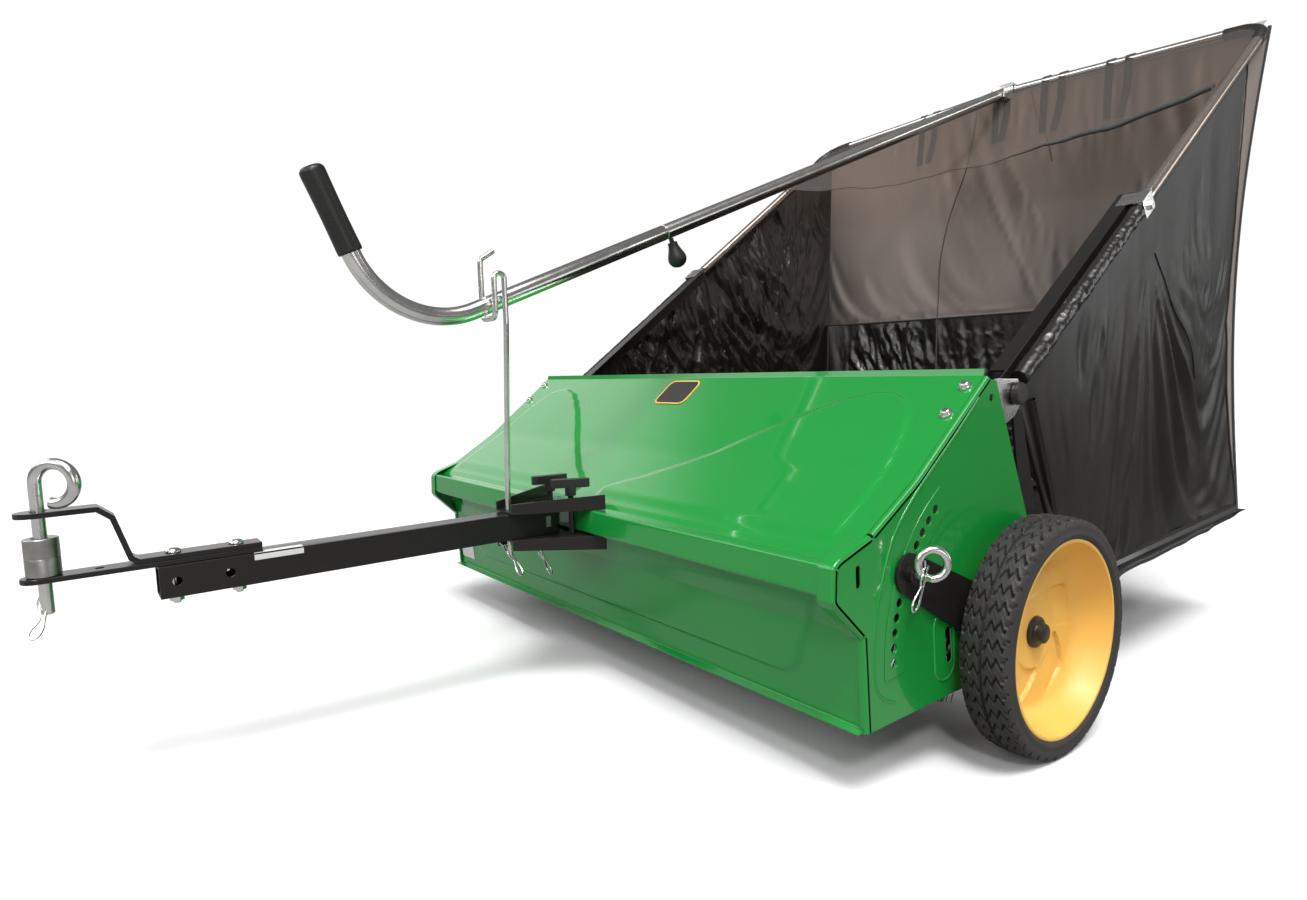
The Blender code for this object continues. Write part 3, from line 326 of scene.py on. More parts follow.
def revolve(profile, segments, place):
    """A closed profile of (radius, distance along) turned about the X axis of the matrix place."""
    shape = bmesh.new()
    rings = []
    for radius, x in profile:
        if radius == 0:
            rings.append([shape.verts.new((x, 0, 0))] * segments)
        else:
            rings.append([shape.verts.new((x, y, z)) for y, z in circle((0, 0), radius, segments)])
    for i in range(len(rings)):
        bridge(shape, rings[i - 1], rings[i])
    shape.transform(place)
    return shape


def along(start, direction):
    """The matrix whose X axis runs from start along direction."""
    quaternion = Vector(direction).to_track_quat("X", "Z")
    return Matrix.Translation(start) @ quaternion.to_matrix().to_4x4()


def rod(start, end, radius, segments=32, bore=0.0):
    start, end = Vector(start), Vector(end)
    length = (end - start).length
    profile = [(bore, 0), (radius, 0), (radius, length), (bore, length)]
    return revolve(profile, segments, along(start, end - start))


def rounded(points, radii, segments):
    """The path through these points, with each inner corner turned into an arc of its radius."""
    points = [Vector(p) for p in points]
    path = [points[0]]
    for before, corner, after, radius in zip(points, points[1:], points[2:], radii):
        back, on = (before - corner).normalized(), (after - corner).normalized()
        half = back.angle(on) / 2
        reach = radius / math.tan(half)
        centre = corner + (back + on).normalized() * radius / math.sin(half)
        first, last = corner + back * reach - centre, corner + on * reach - centre
        axis, turn = first.cross(last), first.angle(last)
        for i in range(segments + 1):
            path.append(centre + Matrix.Rotation(turn * i / segments, 3, axis) @ first)
    return path + [points[-1]]


def spline(points, steps):
    """A smooth curve through these points."""
    points = [Vector(p) for p in points]
    ends = [points[0] * 2 - points[1], *points, points[-1] * 2 - points[-2]]
    path = []
    for a, b, c, d in zip(ends, ends[1:], ends[2:], ends[3:]):
        for i in range(steps):
            t = i / steps
            square, cube = 2 * a - 5 * b + 4 * c - d, 3 * b - a - 3 * c + d
            path.append(0.5 * (2 * b + (c - a) * t + square * t * t + cube * t**3))
    return path + [points[-1]]


def sweep(path, radius, sides, bore=0.0, squash=1.0):
    """A round tube or wire along a path. The radius is a number or one number for each point."""
    path = [Vector(p) for p in path]
    radii = radius if isinstance(radius, (list, tuple)) else [radius] * len(path)
    shape = bmesh.new()
    tangents = []
    for i in range(len(path)):
        before, after = path[max(i - 1, 0)], path[min(i + 1, len(path) - 1)]
        tangents.append((after - before).normalized())
    side = tangents[0].orthogonal().normalized()
    walls = []
    for bored in (False, True) if bore else (False,):
        rings, way = [], side.copy()
        for i, (point, tangent) in enumerate(zip(path, tangents)):
            if i:
                way = tangents[i - 1].rotation_difference(tangent) @ way
            other = tangent.cross(way) * squash
            size = bore if bored else radii[i]
            ring = [point + size * (c * way + s * other) for c, s in circle((0, 0), 1, sides)]
            rings.append([shape.verts.new(corner) for corner in ring])
        for one, two in zip(rings, rings[1:]):
            bridge(shape, one, two)
        walls.append(rings)
    for end in (0, -1):
        if bore:
            bridge(shape, walls[0][end], walls[1][end])
        else:
            shape.faces.new(walls[0][end])
    return shape


def shell(grid, thickness):
    """A closed sheet: grid is an array of rows of points on its face, and the sheet lies behind it."""
    down, across = np.gradient(grid, axis=0), np.gradient(grid, axis=1)
    normal = np.cross(across, down)
    normal /= np.maximum(np.linalg.norm(normal, axis=2, keepdims=True), 1e-9)
    rows, columns = grid.shape[:2]
    shape = bmesh.new()
    layers = []
    for layer in (grid, grid + normal * thickness):
        layers.append([[shape.verts.new(p) for p in row] for row in layer])
    front, back = layers
    for i in range(rows - 1):
        for k in range(columns - 1):
            shape.faces.new((front[i][k], front[i][k + 1], front[i + 1][k + 1], front[i + 1][k]))
            shape.faces.new((back[i][k], back[i + 1][k], back[i + 1][k + 1], back[i][k + 1]))
    border = [(0, k) for k in range(columns)] + [(i, columns - 1) for i in range(1, rows)]
    border += [(rows - 1, k) for k in range(columns - 2, -1, -1)] + [(i, 0) for i in range(rows - 2, 0, -1)]
    for (i, k), (j, m) in zip(border, border[1:] + border[:1]):
        shape.faces.new((front[j][m], front[i][k], back[i][k], back[j][m]))
    return shape


def mesh_of(name, shape):
    mesh = bpy.data.meshes.new(name)
    shape.to_mesh(mesh)
    shape.free()
    return mesh


def together(*shapes):
    """These shapes in one bmesh."""
    joined = bmesh.new()
    for shape in shapes:
        mesh = mesh_of("joining", shape)
        joined.from_mesh(mesh)
        bpy.data.meshes.remove(mesh)
    return joined


def place_object(name, data):
    made = bpy.data.objects.new(name, data)
    bpy.context.scene.collection.objects.link(made)
    return made


def add(name, shape, look, body, stands_for=(), place=ON_AXLE, sign=1, bevel=0.0, angle=SHARP):
    """A piece of the object from a bmesh in axle-line coordinates. The sign -1 mirrors it to the left."""
    if sign < 0:
        bmesh.ops.scale(shape, vec=(-1, 1, 1), verts=shape.verts)
    shape.transform(place)
    bmesh.ops.recalc_face_normals(shape, faces=shape.faces)
    mesh = mesh_of(name, shape)
    piece = place_object(name, mesh)
    mesh.materials.append(LOOKS[look])
    mesh.shade_smooth()
    if bevel:
        soften(piece, bevel)
    else:
        mesh.set_sharp_from_angle(angle=math.radians(angle))
    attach(piece, body)
    if stands_for:
        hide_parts(*stands_for)
    return piece


def soften(piece, width):
    """Rounds the hard edges."""
    rounding = piece.modifiers.new("soft_edges", "BEVEL")
    rounding.width = width
    rounding.segments = 2
    rounding.limit_method = "ANGLE"
    rounding.angle_limit = math.radians(SHARP)
    rounding.harden_normals = True


def dress_cad():
    """Each CAD node takes its slot's material, and hard metal parts get soft edges."""
    slot_of = {part["node"]: part["material_slot"] for part in frame["record"]["subparts"]}
    for name, node in NODES.items():
        node.data.materials.clear()
        node.data.materials.append(LOOKS[slot_of[name]])
        joined = node.modifiers.new("joined", "WELD")
        joined.merge_threshold = 0.00002
        soften(node, 0.0007)


# Pressed sheet: the cover, the apron and the side plates.


def resampled(path, step):
    """The path with no gap between its points longer than step."""
    points = [np.array(path[0], float)]
    for point in path[1:]:
        point = np.array(point, float)
        count = max(1, math.ceil(np.linalg.norm(point - points[-1]) / step))
        start = points[-1]
        points += [start + (point - start) * i / count for i in range(1, count + 1)]
    return np.array(points)


def inside_by(points, polygon):
    """How far inside a polygon each point is. Outside it is negative."""
    one, two = polygon, np.roll(polygon, -1, axis=0)
    nearest = np.full(len(points), np.inf)
    crossings = np.zeros(len(points), int)
    for a, b in zip(one, two):
        side = b - a
        t = np.clip(((points - a) @ side) / max(side @ side, 1e-12), 0, 1)
        nearest = np.minimum(nearest, np.linalg.norm(points - a - t[:, None] * side, axis=1))
        straddles = (a[1] > points[:, 1]) != (b[1] > points[:, 1])
        if abs(side[1]) > 1e-12:
            crossings += straddles & (points[:, 0] < a[0] + (points[:, 1] - a[1]) / side[1] * side[0])
    return np.where(crossings % 2 == 1, nearest, -nearest)


def eased(value, low, high):
    t = np.clip((value - low) / (high - low), 0, 1)
    return t * t * (3 - 2 * t)


def length_along(line):
    return np.concatenate([[0], np.cumsum(np.linalg.norm(np.diff(line, axis=0), axis=1))])


def pressed_sheet(profile, half_width, relief):
    """A sheet with this (y, z) profile on both sides of x = 0, pushed out by relief(x, distance down)."""
    down = length_along(profile)
    across = np.linspace(-half_width, half_width, int(2 * half_width / 0.004) + 1)
    slope = np.gradient(profile, axis=0)
    normal = np.stack([-slope[:, 1], slope[:, 0]], axis=1)
    normal /= np.linalg.norm(normal, axis=1, keepdims=True)
    grid_x, grid_down = np.meshgrid(across, down)
    height = relief(grid_x, grid_down)
    grid = np.zeros((*grid_x.shape, 3))
    grid[..., 0] = grid_x
    for k in (0, 1):
        grid[..., 1 + k] = profile[:, k, None] - height * normal[:, k, None]
    return shell(grid, SHEET)


def flat_path(points, radii, step):
    path = rounded([(0, *p) for p in points], radii, segments=8)
    return resampled([(p.y, p.z) for p in path], step)


COVER_EDGE_X = 0.5405
COVER_NORMAL = (-0.6485, 0.7612)
COVER_LINE = [
    (-0.0705, 0.4880),
    (-0.0725, 0.4795),
    (-0.2110, 0.3615),
    (-0.2900, 0.3085),
    (-0.3230, 0.2880),
    (-0.3310, 0.2797),
    (BEAM_FRONT_Y, SHELF_Z),
    (BEAM_FRONT_Y, BEAM_BOTTOM_Z),
    (-0.3220, BEAM_BOTTOM_Z),
]
RAISED_EDGE = [
    (0.0320, -0.2880, 0.2960),
    (0.0850, -0.2640, 0.3150),
    (0.1730, -0.2180, 0.3550),
    (0.2760, -0.1540, 0.4100),
    (0.3500, -0.1150, 0.4430),
    (0.4000, -0.1010, 0.4550),
    (0.4440, -0.1040, 0.4520),
    (0.4710, -0.1240, 0.4360),
    (0.4880, -0.1600, 0.4050),
    (0.5000, -0.2180, 0.3560),
    (0.5060, -0.3020, 0.2840),
]


def build_cover():
    profile = flat_path(COVER_LINE, (0.003, 0.20, 0.16, 0.010, 0.006, 0.004, 0.004), 0.0032)
    down = length_along(profile)

    def spot(point):
        reach = np.linalg.norm(profile - np.array(point[1:]), axis=1)
        return (point[0], down[int(reach.argmin())])

    line = [spot(p) for p in spline(RAISED_EDGE, 5)]
    foot = down[int(np.abs(profile[:, 0] + 0.3230).argmin())]
    panel = np.array([*line, (line[-1][0], foot + 0.03), (line[0][0], foot + 0.03)])

    def relief(x, s):
        where = np.stack([np.abs(x).ravel(), s.ravel()], axis=1)
        raised = eased(inside_by(where, panel), -0.0042, 0.0042).reshape(x.shape) * 0.0042
        return raised * (1 - eased(s, foot - 0.030, foot - 0.006))

    sheet = pressed_sheet(profile, COVER_EDGE_X, relief)
    add("cover_pressed", sheet, "green_paint", "housing", ("top_cover",))
    head = [(0, 0.0068), (0.0042, 0.0068), (0.0056, 0.0058), (0.0060, 0.0022), (0.0082, 0.0016), (0.0082, 0)]
    for side, sign in SIDES:
        for number, (y, z) in enumerate(((-0.0885, 0.4660), (-0.1275, 0.4328))):
            up = along(Vector((0.5265, y, z)), Vector((0, -0.65, 0.76)))
            screw = revolve([*head, (0, 0)], 24, up)
            add(f"cover_screw_{side}_{number + 1}", screw, "zinc", "housing", sign=sign, angle=50)


def build_apron():
    points = [
        (-0.3200, 0.2438),
        (-0.3165, 0.2370),
        (-0.3010, 0.1950),
        (-0.2890, 0.0960),
        (-0.2890, 0.0850),
        (-0.3010, 0.0830),
    ]
    profile = flat_path(points, (0.006, 0.010, 0.03, 0.002), 0.004)
    top, low, half, corner = 0.062, 0.128, 0.452, 0.040
    arc = [
        (half - corner + corner * math.sin(a), low - corner + corner * math.cos(a))
        for a in np.linspace(0, 1.57, 9)
    ]
    shoulder = [(half + 0.014, top), (half + 0.034, 0.010)]
    edge = [*arc, *shoulder]
    panel = np.array([*((-x, s) for x, s in reversed(arc)), *edge, *((-x, s) for x, s in reversed(shoulder))])

    def relief(x, s):
        where = np.stack([x.ravel(), s.ravel()], axis=1)
        raised = eased(inside_by(where, panel), -0.004, 0.004).reshape(x.shape) * 0.0038
        return raised * eased(s, 0.012, 0.030)

    sheet = pressed_sheet(profile, 0.5400, relief)
    add("apron_pressed", sheet, "green_paint", "housing", ("front_apron",))


def hole_place(number):
    angle = math.radians(130.6 + 4.75 * number)
    return (BRUSH_Y + HOLE_ARC_RADIUS * math.cos(angle), BRUSH_Z + HOLE_ARC_RADIUS * math.sin(angle))


def oblong(centre, angle, length, width, segments=10):
    half = (length - width) / 2
    points = []
    for turn, sign in ((0, 1), (math.pi, -1)):
        middle = (centre[0] + sign * half * math.cos(angle), centre[1] + sign * half * math.sin(angle))
        for i in range(segments + 1):
            a = angle + turn - math.pi / 2 + math.pi * i / segments
            points.append((middle[0] + width / 2 * math.cos(a), middle[1] + width / 2 * math.sin(a)))
    return points


def inset(path, distance):
    """The path moved towards the plate's inside, on its left as it runs from the top to the foot."""
    path = np.array(path, float)
    slope = np.gradient(path, axis=0)
    normal = np.stack([-slope[:, 1], slope[:, 0]], axis=1)
    return path + normal / np.linalg.norm(normal, axis=1, keepdims=True) * distance


def folded_edge(path, reach):
    """A side plate's bent edge along a (y, z) path: from the plate's face it turns inward by reach."""
    path, radius = resampled(path, 0.012), 0.0042
    section = [(PLATE_OUTER_X, radius + 0.0030)]
    for i in range(7):
        a = math.pi / 2 * i / 6
        section.append((PLATE_OUTER_X - radius + radius * math.cos(a), radius - radius * math.sin(a)))
    section.append((PLATE_OUTER_X - reach, 0.0))
    grid = np.zeros((len(section), len(path), 3))
    for i, (x, inward) in enumerate(section):
        grid[i, :, 0] = x
        grid[i, :, 1:] = inset(path, inward)
    return shell(grid, SHEET)


TOP_EDGE = ((-0.0700, 0.4790), (-0.2105, 0.3598), (-0.2900, 0.3067))
NOSE_EDGE = (
    (-0.2935, 0.3050),
    (-0.3480, 0.2845),
    (-0.3545, 0.2760),
    (-0.3548, 0.2395),
    (-0.3500, 0.2325),
    (-0.3048, 0.1915),
)
BROW_EDGE = ((-0.3036, 0.1930), (-0.2990, 0.1500), (-0.2925, 0.0825))
RIDGE = ((-0.0900, 0.4520), (-0.1404, 0.4070), (-0.2067, 0.3510), (-0.2457, 0.3100), (-0.2641, 0.2762))
RIDGE_FOOT = ((-0.2788, 0.2259), (-0.2850, 0.1745), (-0.2800, 0.1377), (-0.2668, 0.1180), (-0.2440, 0.1075))


def build_side_plate(side, sign):
    top = flat_path(TOP_EDGE, (0.20,), 0.012)
    nose = flat_path(NOSE_EDGE, (0.03, 0.008, 0.008, 0.010), 0.006)
    brow = flat_path(BROW_EDGE, (0.10,), 0.010)
    outline = [*inset(top, 0.0045), *inset(nose, 0.0045), *inset(brow, 0.0045)]
    outline += [(-0.126, 0.092), (0.121, 0.094), (0.127, 0.099), (-0.0520, 0.4730)]
    outline = [tuple(p) for p in outline]
    holes = [circle(hole_place(i), 0.0055, 20) for i in range(12)]
    slot = oblong((-0.1400, 0.1545), math.radians(98), 0.046, 0.012)
    others = [circle((BRUSH_Y, BRUSH_Z), 0.0126, 32), slot]
    others.append(circle((-0.0620, 0.4520), 0.0050, 20))
    others.append(oblong((-0.3136, 0.2626), math.radians(94), 0.026, 0.0075))
    sheet = prism(outline, PLATE_INNER_X, PLATE_OUTER_X, holes=holes + others)
    add(f"side_sheet_{side}", sheet, "green_paint", "housing", (f"side_plate_{side}",), sign=sign)
    for name, path, reach in (("top", top, 0.018), ("nose", nose, 0.021), ("front", brow, 0.009)):
        add(f"side_fold_{name}_{side}", folded_edge(path, reach), "green_paint", "housing", sign=sign)

    inner, outer = HOLE_ARC_RADIUS - 0.019, HOLE_ARC_RADIUS + 0.0165
    turns = [math.radians(124.5 + i * 63 / 40) for i in range(41)]
    rim = [(BRUSH_Y + outer * math.cos(a), BRUSH_Z + outer * math.sin(a)) for a in turns]
    rim += [(BRUSH_Y + inner * math.cos(a), BRUSH_Z + inner * math.sin(a)) for a in reversed(turns)]
    pad = prism(rim, PLATE_OUTER_X - 0.0002, PLATE_OUTER_X + 0.0010, holes=holes)
    add(f"side_arc_pad_{side}", pad, "green_paint", "housing", sign=sign, bevel=0.0008)
    for name, points in (("ridge", [*RIDGE, *RIDGE_FOOT]), ("slot_bead", slot_bead())):
        line = [Vector((PLATE_OUTER_X - 0.0012, *point)) for point in points]
        bead = sweep(spline(line, 6), 0.0024, 16)
        add(f"side_{name}_{side}", bead, "green_paint", "housing", sign=sign)


def slot_bead():
    """The pressed rim round the plate's slot, left open at its upper end."""
    rim = oblong((-0.1490, 0.1560), math.radians(96), 0.088, 0.040, 8)
    return [*rim[4:], *rim[:2]]


# Wheels.


def build_tyre(side, sign):
    """A tyre with a centre groove and rows of zigzag blocks that run out over the shoulders."""
    low_x, high_x = TYRE_LOW.x, TYRE_HIGH.x
    middle, half = (low_x + high_x) / 2, (high_x - low_x) / 2
    crown = WHEEL_RADIUS
    section = [
        (0.1263, -half + 0.0030),
        (0.1290, -half + 0.0008),
        (0.1330, -half),
        (0.1345, -half + 0.0010),
        (0.1400, -half + 0.0008),
        (0.1450, -half + 0.0014),
        (0.1485, -half + 0.0030),
    ]
    flat = half - 0.0075
    tread = [(crown - 0.0022 * abs(t) ** 4, t * flat) for t in np.linspace(-1, 1, 41)]
    section += [(0.1500, -half + 0.0045), *tread]
    section += [(r, -x) for r, x in reversed([*section[:7], (0.1500, -half + 0.0045)])]
    section = np.array(section)
    around = 720
    pitches = 44
    turns = np.arange(around) * 2 * math.pi / around
    radius = np.repeat(section[:, 0][:, None], around, axis=1)
    offset = np.repeat(section[:, 1][:, None], around, axis=1)
    share = offset / half
    zigzag = np.abs(((np.abs(share) * 3.1 + 0.15) % 1) * 2 - 1) * 0.55 + np.abs(share) * 0.25
    phase = (turns[None, :] * pitches / (2 * math.pi) + zigzag + np.where(share > 0, 0.5, 0)) % 1
    groove = np.minimum(phase, 1 - phase)
    cut = 1 - eased(groove, 0.075, 0.125)
    sipe = (1 - eased(np.abs(phase - 0.5), 0.015, 0.05)) * eased(np.abs(share), 0.25, 0.35) * 0.22
    centre = 1 - eased(np.abs(share), 0.035, 0.075)
    on_tread = eased(radius, 0.1455, 0.1492)
    depth = 0.0042 * np.maximum(np.maximum(cut, sipe), centre) * on_tread
    edge = (radius > 0.1380) & (radius < 0.1490)
    depth += np.where(edge, 0.0012 * cut * eased(radius, 0.1380, 0.1440), 0)
    radius = radius - depth
    ys, zs = radius * np.sin(turns), AXLE_Z - radius * np.cos(turns)
    shape = bmesh.new()
    rings = [
        [shape.verts.new((middle + offset[i, k], ys[i, k], zs[i, k])) for k in range(around)]
        for i in range(len(section))
    ]
    for i in range(len(rings)):
        bridge(shape, rings[i - 1], rings[i])
    body, node = f"wheel_{side}", f"tyre_{side}"
    add(f"tyre_treaded_{side}", shape, "tyre_rubber", body, (node,), sign=sign, angle=50)


def gear_hole(teeth, phase):
    """The ring gear's tooth spaces, as a closed outline about the axle."""
    points = []
    for i in range(teeth):
        middle = phase + 2 * math.pi * i / teeth
        for radius, turn in ((0.0528, -0.0260), (0.0560, -0.0400), (0.0560, 0.0400), (0.0528, 0.0260)):
            points.append((radius * math.cos(middle + turn), AXLE_Z + radius * math.sin(middle + turn)))
    return points


RIM_FACE_X = 0.5795
RIM_BACK = (
    *((0.1232, 0.6226), (0.1245, 0.6228), (0.1258, 0.6222)),
    *((0.1260, 0.6190), (0.1260, 0.5710), (0.1250, 0.5682), (0.1232, 0.5682), (0.1225, 0.5700)),
    *((0.1225, 0.5930), (0.1070, 0.5815), (0.0940, 0.5760), (0.0610, 0.5755), (0.0605, 0.5657)),
    *((0.0568, 0.5657), (0.0568, 0.5745), (0.0190, 0.5745), (0.0180, 0.5657), (0.0100, 0.5657)),
    *((0.0100, 0.5790), (0.0110, RIM_FACE_X)),
)
HUB_CAP = (
    *((0, 0.5945), (0.0105, 0.5945), (0.0122, 0.5935), (0.0128, 0.5915), (0.0131, 0.5868), (0.0140, 0.5856)),
    *((0.0185, 0.5850), (0.0200, 0.5838), (0.0207, 0.5800), (0.0106, 0.5800), (0.0106, 0.5905), (0, 0.5905)),
)


def build_rim(side, sign):
    """A moulded wheel disc with five swirled pockets, a deep barrel and a ring gear at its back."""
    rings, around, pockets = 56, 300, 5
    radii = np.linspace(0.0190, 0.1215, rings)
    turns = np.arange(around) * 2 * math.pi / around
    grid_r, grid_a = np.meshgrid(radii, turns, indexing="ij")
    swirl = grid_a + (grid_r - 0.07) * 7.0
    within = ((swirl * pockets / (2 * math.pi) + 0.18) % 1) - 0.5
    across = within * 2 * math.pi / pockets * grid_r
    beside, beyond = np.abs(across) - 0.021, np.abs(grid_r - 0.0710) - 0.0125
    reach = np.hypot(np.maximum(beside, 0), np.maximum(beyond, 0))
    pocket = (1 - eased(reach, 0.0084, 0.0106)) * (0.15 + 0.85 * eased(across, -0.028, 0.016))
    barrel = 0.0410 * np.clip((grid_r - 0.0900) / 0.0315, 0, 1) ** 2.3
    face = RIM_FACE_X + 0.0016 * eased(grid_r, 0.0300, 0.0900) + barrel - 0.0046 * pocket
    shape = bmesh.new()
    ys, zs = grid_r * np.cos(grid_a), grid_r * np.sin(grid_a)
    loops = [
        [shape.verts.new((face[i, k], ys[i, k], zs[i, k])) for k in range(around)] for i in range(rings)
    ]
    for radius, x in RIM_BACK:
        loops.append([shape.verts.new((x, radius * math.cos(a), radius * math.sin(a))) for a in turns])
    for one, two in zip(loops, [*loops[1:], loops[0]]):
        bridge(shape, one, two)
    shape.transform(Matrix.Translation((0, 0, AXLE_Z)))
    gear = [gear_hole(54, math.radians(163.2))]
    teeth = prism(circle((0, AXLE_Z), 0.0592, 108), 0.5660, 0.5755, holes=gear)
    rim = together(shape, teeth)
    body = f"wheel_{side}"
    add(f"rim_moulded_{side}", rim, "yellow_plastic", body, (f"wheel_rim_{side}",), sign=sign, angle=40)
    cap = revolve(HUB_CAP, 48, Matrix.Translation((0, 0, AXLE_Z)))
    add(f"hub_cover_{side}", cap, "black_plastic", body, (f"hub_cap_{side}",), sign=sign)


def build_brush():
    """Rows of bristle tufts on a core tube, in four sections half a row apart."""
    rng = np.random.default_rng(7)
    low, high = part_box("brush_section_1")
    width = high.x - low.x
    strands, rows, thick = 170, 6, 0.0009
    at_axis = Matrix.Translation((0, BRUSH_Y, BRUSH_Z))
    for number in range(4):
        node = f"brush_section_{number + 1}"
        low_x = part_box(node)[0].x
        high_x = low_x + width
        turns = [2 * math.pi * (row + (number + 1) / 2) / rows for row in range(rows)]
        shape = bmesh.new()
        for turn in turns:
            out = Vector((0, math.cos(turn), math.sin(turn)))
            side = Vector((0, -out.z, out.y))
            for strand in range(strands):
                x = low_x + 0.010 + (width - 0.020) * (strand + 0.5) / strands
                lean = (rng.random(3) - 0.5) * (0.014, 0.014, 0.006)
                foot = Vector((x, 0, 0)) + out * 0.019 + side * (rng.random() - 0.5) * 0.005
                reach = BRUSH_RADIUS - 0.020 - 2 * abs(lean[2])
                tip = Vector((x + lean[0], 0, 0)) + (out * reach + side * lean[1]).normalized() * reach
                ways = [Vector((thick, 0, 0)), side * thick, Vector((-thick, 0, 0)), side * -thick]
                base = [shape.verts.new(foot + w) for w in ways]
                ends = [shape.verts.new(tip + w * 0.6) for w in ways]
                bridge(shape, base, ends)
                shape.faces.new(base)
                shape.faces.new(ends)
        strips = []
        for turn in turns:
            section = [(0.018, -0.0045), (0.026, -0.0038), (0.026, 0.0038), (0.018, 0.0045)]
            strips.append(prism(section, low_x, high_x))
            strips[-1].transform(Matrix.Rotation(turn, 4, "X"))
        core = together(rod((low_x, 0, 0), (high_x, 0, 0), 0.0195, 32, 0.0063), *strips)
        shape.transform(at_axis)
        core.transform(at_axis)
        add(f"brush_bristles_{number + 1}", shape, "bristle", "brush", (node,))
        add(f"brush_core_{number + 1}", core, "black_plastic", "brush")


# Hitch.


TUBE_TOP_Z = SHELF_Z - 0.0003
TUBE_SIZE = 0.038
HITCH_PIN_Y = -1.008
STRAP_TOP_Z = TUBE_TOP_Z + 0.0126 + 0.065


def hair_clip(centre, pin_radius, pin_axis, leg, side):
    """A hair clip: a straight leg through the pin's cross hole and a waved leg that springs round the pin."""
    leg, side, centre, wire = Vector(leg).normalized(), Vector(side).normalized(), Vector(centre), 0.0013
    hug = pin_radius + wire + 0.0009
    half = pin_radius / math.sin(leg.angle(Vector(pin_axis))) + 0.002
    straight = [(-half - 0.007, 0), (half, 0), (0.020, 0), (0.030, 0)]
    bend = [(0.0380, 0.0030), (0.0405, 0.0075), (0.0370, 0.0112), (0.0300, 0.0112)]
    waved = [(half + 0.007, 0.0048), (half * 0.9, hug), (0, hug + 0.0010), (-half * 0.9, hug)]
    tail = [(-half - 0.0045, 0.0052), (-half - 0.0110, 0.0090)]
    points = [centre + a * leg + b * side for a, b in straight + bend + waved + tail]
    return sweep(spline(points, 5), wire, 10)


def upright(y):
    """The matrix whose X axis stands on the ground at this y, in the middle."""
    return along(Vector((0, y, 0)), Vector((0, 0, 1)))


def loop_end(centre, radius, across, ahead, degrees, steps=40):
    """A pin's bent end: an arc that sets out along ahead from the point where across leads to its centre."""
    turns = [math.radians(degrees) * i / steps for i in range(steps + 1)]
    return [centre + radius * (math.sin(a) * ahead - math.cos(a) * across) for a in turns]


